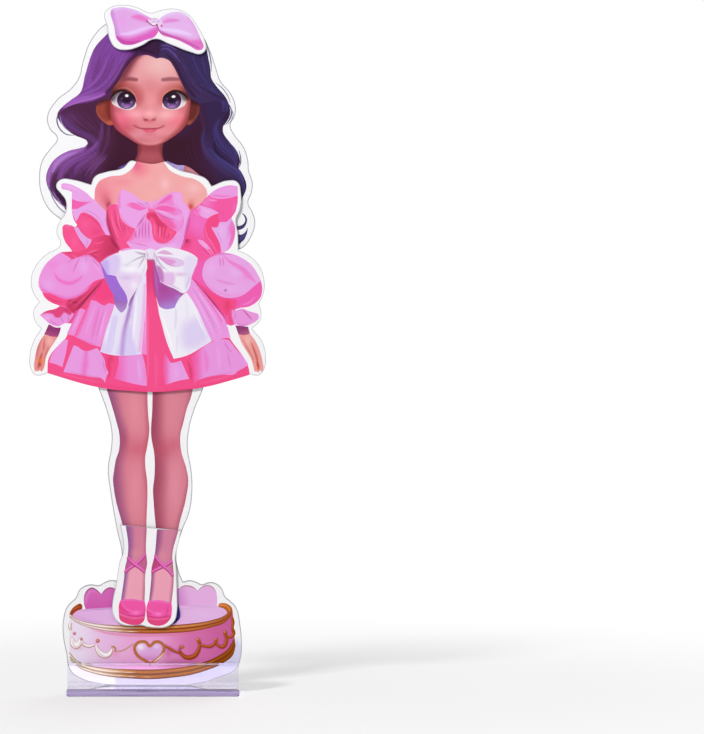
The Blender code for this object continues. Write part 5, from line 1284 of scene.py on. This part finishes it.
def bake_map(front, back, faces, back_faces):
    """A flat map that gives the printed front nearly all of the room, and the rim and back a strip each."""
    low = front.min(0)[[0, 2]]
    reach = front.max(0)[[0, 2]] - low
    width, edge = 0.96, 0.02
    rim_high, rim_low = 0.105, 0.085
    size = len(back)
    here = np.arange(size) / size
    after = np.arange(1, size + 1) / size

    def spread(places, used, height, start):
        return ((places[:, [0, 2]] - low) / reach)[used] * (width, height) + (edge, start)

    def row(along, height):
        return np.stack([along, np.full_like(along, height)], 1)

    first = np.stack([row(here, rim_high), row(here, rim_low), row(after, rim_high)], 1)
    second = np.stack([row(after, rim_high), row(here, rim_low), row(after, rim_low)], 1)
    rim_map = np.concatenate([first, second]) * (width, 1) + (edge, 0)
    back_map = spread(back, back_faces[:, ::-1], 0.05, 0.015)
    return np.concatenate([spread(front, faces, 0.86, 0.12), rim_map, back_map])


def new_piece(name, mesh, node, body):
    """Puts a finished mesh in the scene, in place of its CAD node."""
    piece = bpy.data.objects.new(name, mesh)
    bpy.context.scene.collection.objects.link(piece)
    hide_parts(node)
    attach(piece, body)


def print_sheet(name, node, body, areas, material):
    """A printed card: the coloured front, the cut rim and the plain back, as one closed piece."""
    low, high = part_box(node)
    places, faces, ink = printed_mesh(areas)
    loop = boundary(faces.tolist())
    count, size = len(places), len(loop)
    front = np.stack([places[:, 0] * MM, np.full(count, low.y), places[:, 1] * MM + FOOT], 1)
    back = front[loop] + (0, high.y - low.y, 0)
    back_net = delaunay_2d_cdt([Vector(p) for p in places[loop]], closed_sides(size), [], 1, BACK_WELD)
    back_faces = np.array([tuple(f) for f in back_net[2]])
    here = np.arange(size)
    after = np.roll(here, -1)
    rim = np.concatenate([
        np.stack([loop, here + count, loop[after]], 1),
        np.stack([loop[after], here + count, after + count], 1)])
    every = np.concatenate([faces, rim, back_faces[:, ::-1] + count])
    mesh = bpy.data.meshes.new(name)
    mesh.from_pydata(np.concatenate([front, back]).tolist(), [], every.tolist())
    plain = np.ones((len(every) - len(faces), 3, 4))
    plain[..., :3] = linear(rgb(CUT_EDGE))
    colours = mesh.color_attributes.new("ink", "FLOAT_COLOR", "CORNER")
    colours.data.foreach_set("color", np.concatenate([ink, plain]).ravel())
    texture = mesh.uv_layers.new(name="OFBake")
    texture.data.foreach_set("uv", bake_map(front, back, faces, back_faces).ravel())
    mesh.materials.append(material)
    mesh.validate()
    new_piece(name, mesh, node, body)


# Materials
class Value:
    """A shader socket that takes part in Python maths."""

    def __init__(self, tree, socket=None):
        self.tree = tree
        self.socket = socket

    def node(self, kind, settings, **sockets):
        """A node of that type, with its settings and then its sockets. Gives its first output."""
        made = self.tree.nodes.new(kind)
        for name, value in settings.items():
            setattr(made, name, value)
        feed(made, **sockets)
        return Value(self.tree, made.outputs[0])

    def output(self, name):
        """Another output of the node that this value comes from."""
        return Value(self.tree, self.socket.node.outputs[name])

    def maths(self, operation, a, b):
        return self.node("ShaderNodeMath", {"operation": operation}, i0=a, i1=b)

    def __add__(self, other):
        return self.maths("ADD", self, other)

    def __radd__(self, other):
        return self.maths("ADD", other, self)

    def __sub__(self, other):
        return self.maths("SUBTRACT", self, other)

    def __rsub__(self, other):
        return self.maths("SUBTRACT", other, self)

    def __mul__(self, other):
        return self.maths("MULTIPLY", self, other)

    def __rmul__(self, other):
        return self.maths("MULTIPLY", other, self)

    def clamped(self, low, high):
        """This value from low to high, spread from 0 to 1."""
        smooth = {"interpolation_type": "SMOOTHSTEP"}
        return self.node("ShaderNodeMapRange", smooth, Value=self, From_Min=low, From_Max=high)

    def tinted(self, colour, other, blend="MIX"):
        """One colour blended with another, this value being the factor."""
        settings = {"data_type": "RGBA", "blend_type": blend}
        return self.node("ShaderNodeMix", settings, i0=self, i6=colour, i7=other).output(2)

    def place(self):
        """Object coordinates."""
        return self.node("ShaderNodeTexCoord", {}).output("Object")

    def noise(self, scale, detail=2.0, stretch=None):
        """Noise on object coordinates, scale being the number of cells in a metre."""
        place = self.place()
        if stretch:
            place = self.node("ShaderNodeMapping", {}, Vector=place, Scale=stretch)
        return self.node("ShaderNodeTexNoise", {}, Vector=place, Scale=scale, Detail=detail)


def feed(node, **sockets):
    """Sets or links a node's sockets: _ stands for a blank in a name, and i with a number for a place."""
    for name, value in sockets.items():
        numbered = name[0] == "i" and name[1:].isdigit()
        socket = node.inputs[int(name[1:]) if numbered else name.replace("_", " ")]
        if isinstance(value, Value):
            value.tree.links.new(value.socket, socket)
        else:
            socket.default_value = value


def shader(name):
    """A new material with its main shader node, its output node, and a start for shader maths."""
    material = bpy.data.materials.new(name)
    material.use_nodes = True
    tree = material.node_tree
    surface = next(node for node in tree.nodes if node.type == "BSDF_PRINCIPLED")
    end = next(node for node in tree.nodes if node.type == "OUTPUT_MATERIAL")
    return material, surface, end, Value(tree)


def print_film():
    """Printed card under gloss film: the ink, a faint mottle of the print, and the film's slight waves."""
    material, surface, _, start = shader("print_film")
    ink = start.node("ShaderNodeVertexColor", {"layer_name": "ink"})
    mottle = start.noise(2600, 3)
    waves = start.noise(120, 2)
    peel = start.noise(1400, 2)
    colour = (mottle - 0.5).clamped(-0.35, 0.35).tinted(ink, (0.93, 0.93, 0.94, 1), "MULTIPLY")
    colour = (mottle * 0.09).tinted(ink, colour)
    height = waves * 1.0 + peel * 0.12
    bump = start.node("ShaderNodeBump", {}, Strength=0.12, Distance=0.0002, Height=height)
    feed(surface, Base_Color=colour, Roughness=0.4 + 0.14 * waves, Normal=bump, Coat_Weight=0.03,
        Coat_Roughness=0.15, IOR=1.5, Specular_IOR_Level=0.05)
    return material


def magnet_rubber():
    """Flexible magnet: ferrite-filled rubber, dark, with fine grain and the faint stripes of its poles."""
    material, surface, _, start = shader("magnet_rubber")
    dark, light = (0.018, 0.016, 0.016, 1), (0.05, 0.046, 0.045, 1)
    grain = start.noise(4200, 4)
    drift = start.noise(160, 2)
    stripes = {"bands_direction": "Z"}
    poles = start.node("ShaderNodeTexWave", stripes, Vector=start.place(), Scale=105.0, Distortion=0.3)
    colour = (grain * 0.7 + poles * 0.2 + drift * 0.2).clamped(0.2, 0.9).tinted(dark, light)
    bump = start.node("ShaderNodeBump", {}, Strength=0.25, Distance=0.0001, Height=grain + 0.4 * poles)
    feed(surface, Base_Color=colour, Roughness=0.52 + 0.25 * grain, Normal=bump)
    return material


def plain_card():
    """The doll's unprinted back: white coated card with short fibres and a few soft clouds."""
    material, surface, _, start = shader("plain_card")
    grey, white = (0.80, 0.79, 0.79, 1), (0.88, 0.875, 0.88, 1)
    fibres = start.noise(2200, 4, (1.0, 1.0, 0.25))
    clouds = start.noise(55, 3)
    colour = (fibres * 0.6 + clouds * 0.5).clamped(0.3, 0.8).tinted(grey, white)
    bump = start.node("ShaderNodeBump", {}, Strength=0.15, Distance=0.0001, Height=fibres)
    feed(surface, Base_Color=colour, Roughness=0.45 + 0.2 * clouds, Normal=bump)
    return material


def clear_acrylic(name, layers, shade):
    """Clear moulded plastic with a faint violet tint, moulding streaks and light handling marks. The streaks
    band its colour from shade to white; close and deep, as on the base, these bands are painted reflection
    and shade.
    """
    material, surface, end, start = shader(name)
    flow_and_sheen_bands = start.noise(60, 2, (0.25, 1.0, layers))
    marks = start.noise(700, 3, (0.2, 1.0, 1.0))
    colour = flow_and_sheen_bands.clamped(0.2, 0.8).tinted(shade, (0.98, 0.975, 1.0, 1))
    bump = start.node("ShaderNodeBump", {}, Strength=0.2, Distance=0.0003, Height=flow_and_sheen_bands)
    feed(surface, Base_Color=colour, Roughness=0.02 + 0.08 * marks.clamped(0.55, 0.8), Normal=bump, IOR=1.49,
        Transmission_Weight=1.0)
    absorb = start.node("ShaderNodeVolumeAbsorption", {}, Color=(0.58, 0.47, 0.72, 1), Density=62.0)
    through = start.node("ShaderNodeBsdfTransparent", {}, Color=(0.91, 0.9, 0.93, 1))
    shadow = start.node("ShaderNodeLightPath", {}).output("Is Shadow Ray")
    body = Value(start.tree, surface.outputs[0])
    mixed = start.node("ShaderNodeMixShader", {}, i0=shadow, i1=body, i2=through)
    feed(end, Volume=absorb, Surface=mixed)
    return material


def seen_rays(start):
    """1 for rays that show the backdrop: straight, mirrored or through the clear plastic."""
    paths = start.node("ShaderNodeLightPath", {})
    direct = start.maths("MAXIMUM", paths.output("Is Camera Ray"), paths.output("Is Glossy Ray"))
    return start.maths("MAXIMUM", direct, paths.output("Is Transmission Ray"))


def pale_floor():
    """A pale floor that takes a soft shadow near the holder and fades to plain white further out."""
    material, surface, end, start = shader("pale_floor")
    feed(surface, Base_Color=(0.9, 0.9, 0.9, 1), Roughness=0.7, Specular_IOR_Level=0.1)
    away = start.node("ShaderNodeVectorMath", {"operation": "LENGTH"}, i0=start.place()).output("Value")
    white = start.node("ShaderNodeEmission", {}, Color=(1, 1, 1, 1), Strength=1.0)
    far = (0.35 + 0.65 * away.clamped(0.04, 0.3)) * seen_rays(start)
    body = Value(start.tree, surface.outputs[0])
    feed(end, Surface=start.node("ShaderNodeMixShader", {}, i0=far, i1=body, i2=white))
    return material


# Plain sheets
WELD = 1e-7


def die_cut_tree():
    """Geometry nodes that fill a die-cut line and give the sheet its thickness."""
    tree = bpy.data.node_groups.new("die_cut_sheet", "GeometryNodeTree")
    face = tree.interface
    face.new_socket("Geometry", in_out="INPUT", socket_type="NodeSocketGeometry")
    thickness = face.new_socket("Thickness", in_out="INPUT", socket_type="NodeSocketFloat")
    stock = face.new_socket("Stock", in_out="INPUT", socket_type="NodeSocketMaterial")
    face.new_socket("Geometry", in_out="OUTPUT", socket_type="NodeSocketGeometry")

    def add(kind, **sockets):
        node = tree.nodes.new(kind)
        feed(node, **sockets)
        return node

    given = add("NodeGroupInput")
    curve = add("GeometryNodeMeshToCurve")
    turn = add("GeometryNodeTransform", Rotation=(-np.pi / 2, 0, 0))
    fill = add("GeometryNodeFillCurve")
    stand = add("GeometryNodeTransform", Rotation=(np.pi / 2, 0, 0))
    extrude = add("GeometryNodeExtrudeMesh", Individual=False, Offset=(0, 1, 0))
    flip = add("GeometryNodeFlipFaces")
    both = add("GeometryNodeJoinGeometry")
    weld = add("GeometryNodeMergeByDistance", Distance=WELD)
    real = add("GeometryNodeRealizeInstances")
    paint = add("GeometryNodeSetMaterial")
    result = add("NodeGroupOutput")
    chain = (given, curve, turn, fill, stand, extrude, both, weld, real, paint, result)
    for node, after in zip(chain, chain[1:]):
        tree.links.new(node.outputs[0], after.inputs[0])
    tree.links.new(given.outputs["Thickness"], extrude.inputs["Offset Scale"])
    tree.links.new(stand.outputs["Geometry"], flip.inputs["Mesh"])
    tree.links.new(flip.outputs["Mesh"], both.inputs["Geometry"])
    tree.links.new(given.outputs["Stock"], paint.inputs["Material"])
    return tree, thickness.identifier, stock.identifier


def die_cut_sheet(name, node, body, die, material):
    """A magnet or plain card sheet cut along the same smooth line as the print in front of it."""
    tree, thickness, stock = die
    low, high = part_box(node)
    outline = front_outline(node)
    mesh = bpy.data.meshes.new(name + "_line")
    mesh.from_pydata([(x * MM, 0, h * MM) for x, h in outline], closed_sides(len(outline)), [])
    maker = bpy.data.objects.new(name + "_line", mesh)
    bpy.context.scene.collection.objects.link(maker)
    nodes = maker.modifiers.new("die", "NODES")
    nodes.node_group = tree
    nodes[thickness] = high.y - low.y
    nodes[stock] = material
    cut = bpy.data.meshes.new_from_object(maker.evaluated_get(bpy.context.evaluated_depsgraph_get()))
    bpy.data.objects.remove(maker)
    places = corners(cut)
    places += (0, low.y - places[:, 1].min(), FOOT)
    cut.vertices.foreach_set("co", places.ravel())
    cut.name = name
    outward(cut)
    new_piece(name, cut, node, body)


def outward(mesh):
    """Turns every face of a closed mesh to point outwards."""
    work = bmesh.new()
    work.from_mesh(mesh)
    bmesh.ops.recalc_face_normals(work, faces=work.faces)
    work.to_mesh(mesh)
    work.free()
    mesh.update()


# Pieces
film = print_film()
print_sheet("doll_print", "doll_front_card", "doll", doll_areas(), film)
print_sheet("dress_print", "dress_card", "dress", dress_areas(), film)
print_sheet("bow_print", "bow_card", "bow", bow_areas(), film)
print_sheet("shoes_print", "shoes_card", "shoes", shoes_areas(), film)

rubber = magnet_rubber()
die = die_cut_tree()
die_cut_sheet("doll_magnet", "doll_core", "doll", die, rubber)
die_cut_sheet("doll_back", "doll_back_card", "doll", die, plain_card())
for garment in ("dress", "bow", "shoes"):
    die_cut_sheet(garment + "_backing", garment + "_magnet", garment, die, rubber)

wall_acrylic = clear_acrylic("wall_acrylic", 9.0, (0.95, 0.935, 0.98, 1))
# The base's bands are close and deep violet: painted reflection and shade along its front edge, over its
# moulding streaks
base_acrylic = clear_acrylic("base_acrylic", 30.0, (0.6, 0.52, 0.72, 1))
clear = {"holder_base": base_acrylic, "holder_front_wall": wall_acrylic, "holder_rear_wall": wall_acrylic}
for node, acrylic in clear.items():
    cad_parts[node].data.materials.clear()
    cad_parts[node].data.materials.append(acrylic)

# Floor, in metres, just under the holder
scene = bpy.context.scene
scene.view_settings.view_transform = "Standard"
FLOOR_REACH = 6.0
FLOOR_DROP = -0.0001
square = ((-1, -1), (1, -1), (1, 1), (-1, 1))
floor_mesh = bpy.data.meshes.new("floor")
floor_corners = [(x * FLOOR_REACH, y * FLOOR_REACH, FLOOR_DROP) for x, y in square]
floor_mesh.from_pydata(floor_corners, [], [(0, 1, 2, 3)])
floor = bpy.data.objects.new("floor", floor_mesh)
scene.collection.objects.link(floor)
floor_mesh.materials.append(pale_floor())

# Light. The backdrop looks white, and lights the doll less than it looks
WORLD_LEVEL = 0.32
world = bpy.data.worlds.new("studio")
scene.world = world
world.use_nodes = True
level = WORLD_LEVEL + (1 - WORLD_LEVEL) * seen_rays(Value(world.node_tree))
feed(world.node_tree.nodes["Background"], Color=(1, 1, 1, 1), Strength=level)

LIT_POINT = Vector((0, 0, 0.095))
LAMPS = (
    ("key", (-0.45, -0.75, 0.75), 0.16, 7.5),
    ("top", (0.1, -0.1, 1.1), 0.6, 1.0),
    ("rear", (0.35, 0.8, 0.6), 0.5, 2.6))
for name, place, size, power in LAMPS:
    light = bpy.data.lights.new(name, "AREA")
    light.size = size
    light.energy = power
    lamp = bpy.data.objects.new(name, light)
    lamp.location = place
    lamp.rotation_euler = (LIT_POINT - Vector(place)).to_track_quat("-Z", "Y").to_euler()
    scene.collection.objects.link(lamp)

# Camera. The photograph's frame is 704 by 734 pixels, with the doll left of the middle
MM_PER_PIXEL = 0.275
IMAGE_WIDTH, IMAGE_HEIGHT = 704, 734
DOLL_COLUMN, FOOT_ROW = 153, 685
VIEW_DISTANCE = 0.9
picture_height = IMAGE_HEIGHT * MM_PER_PIXEL * MM
eye_height = FOOT + (FOOT_ROW - IMAGE_HEIGHT / 2) * MM_PER_PIXEL * MM
camera = bpy.data.objects.new("camera", bpy.data.cameras.new("camera"))
camera.data.sensor_width = 36
camera.data.lens = camera.data.sensor_width * VIEW_DISTANCE / picture_height
camera.data.shift_x = (IMAGE_WIDTH / 2 - DOLL_COLUMN) / IMAGE_HEIGHT
camera.data.clip_start = 0.01
camera.location = (0, -VIEW_DISTANCE, eye_height)
camera.rotation_euler = (np.pi / 2, 0, 0)
scene.collection.objects.link(camera)
scene.camera = camera
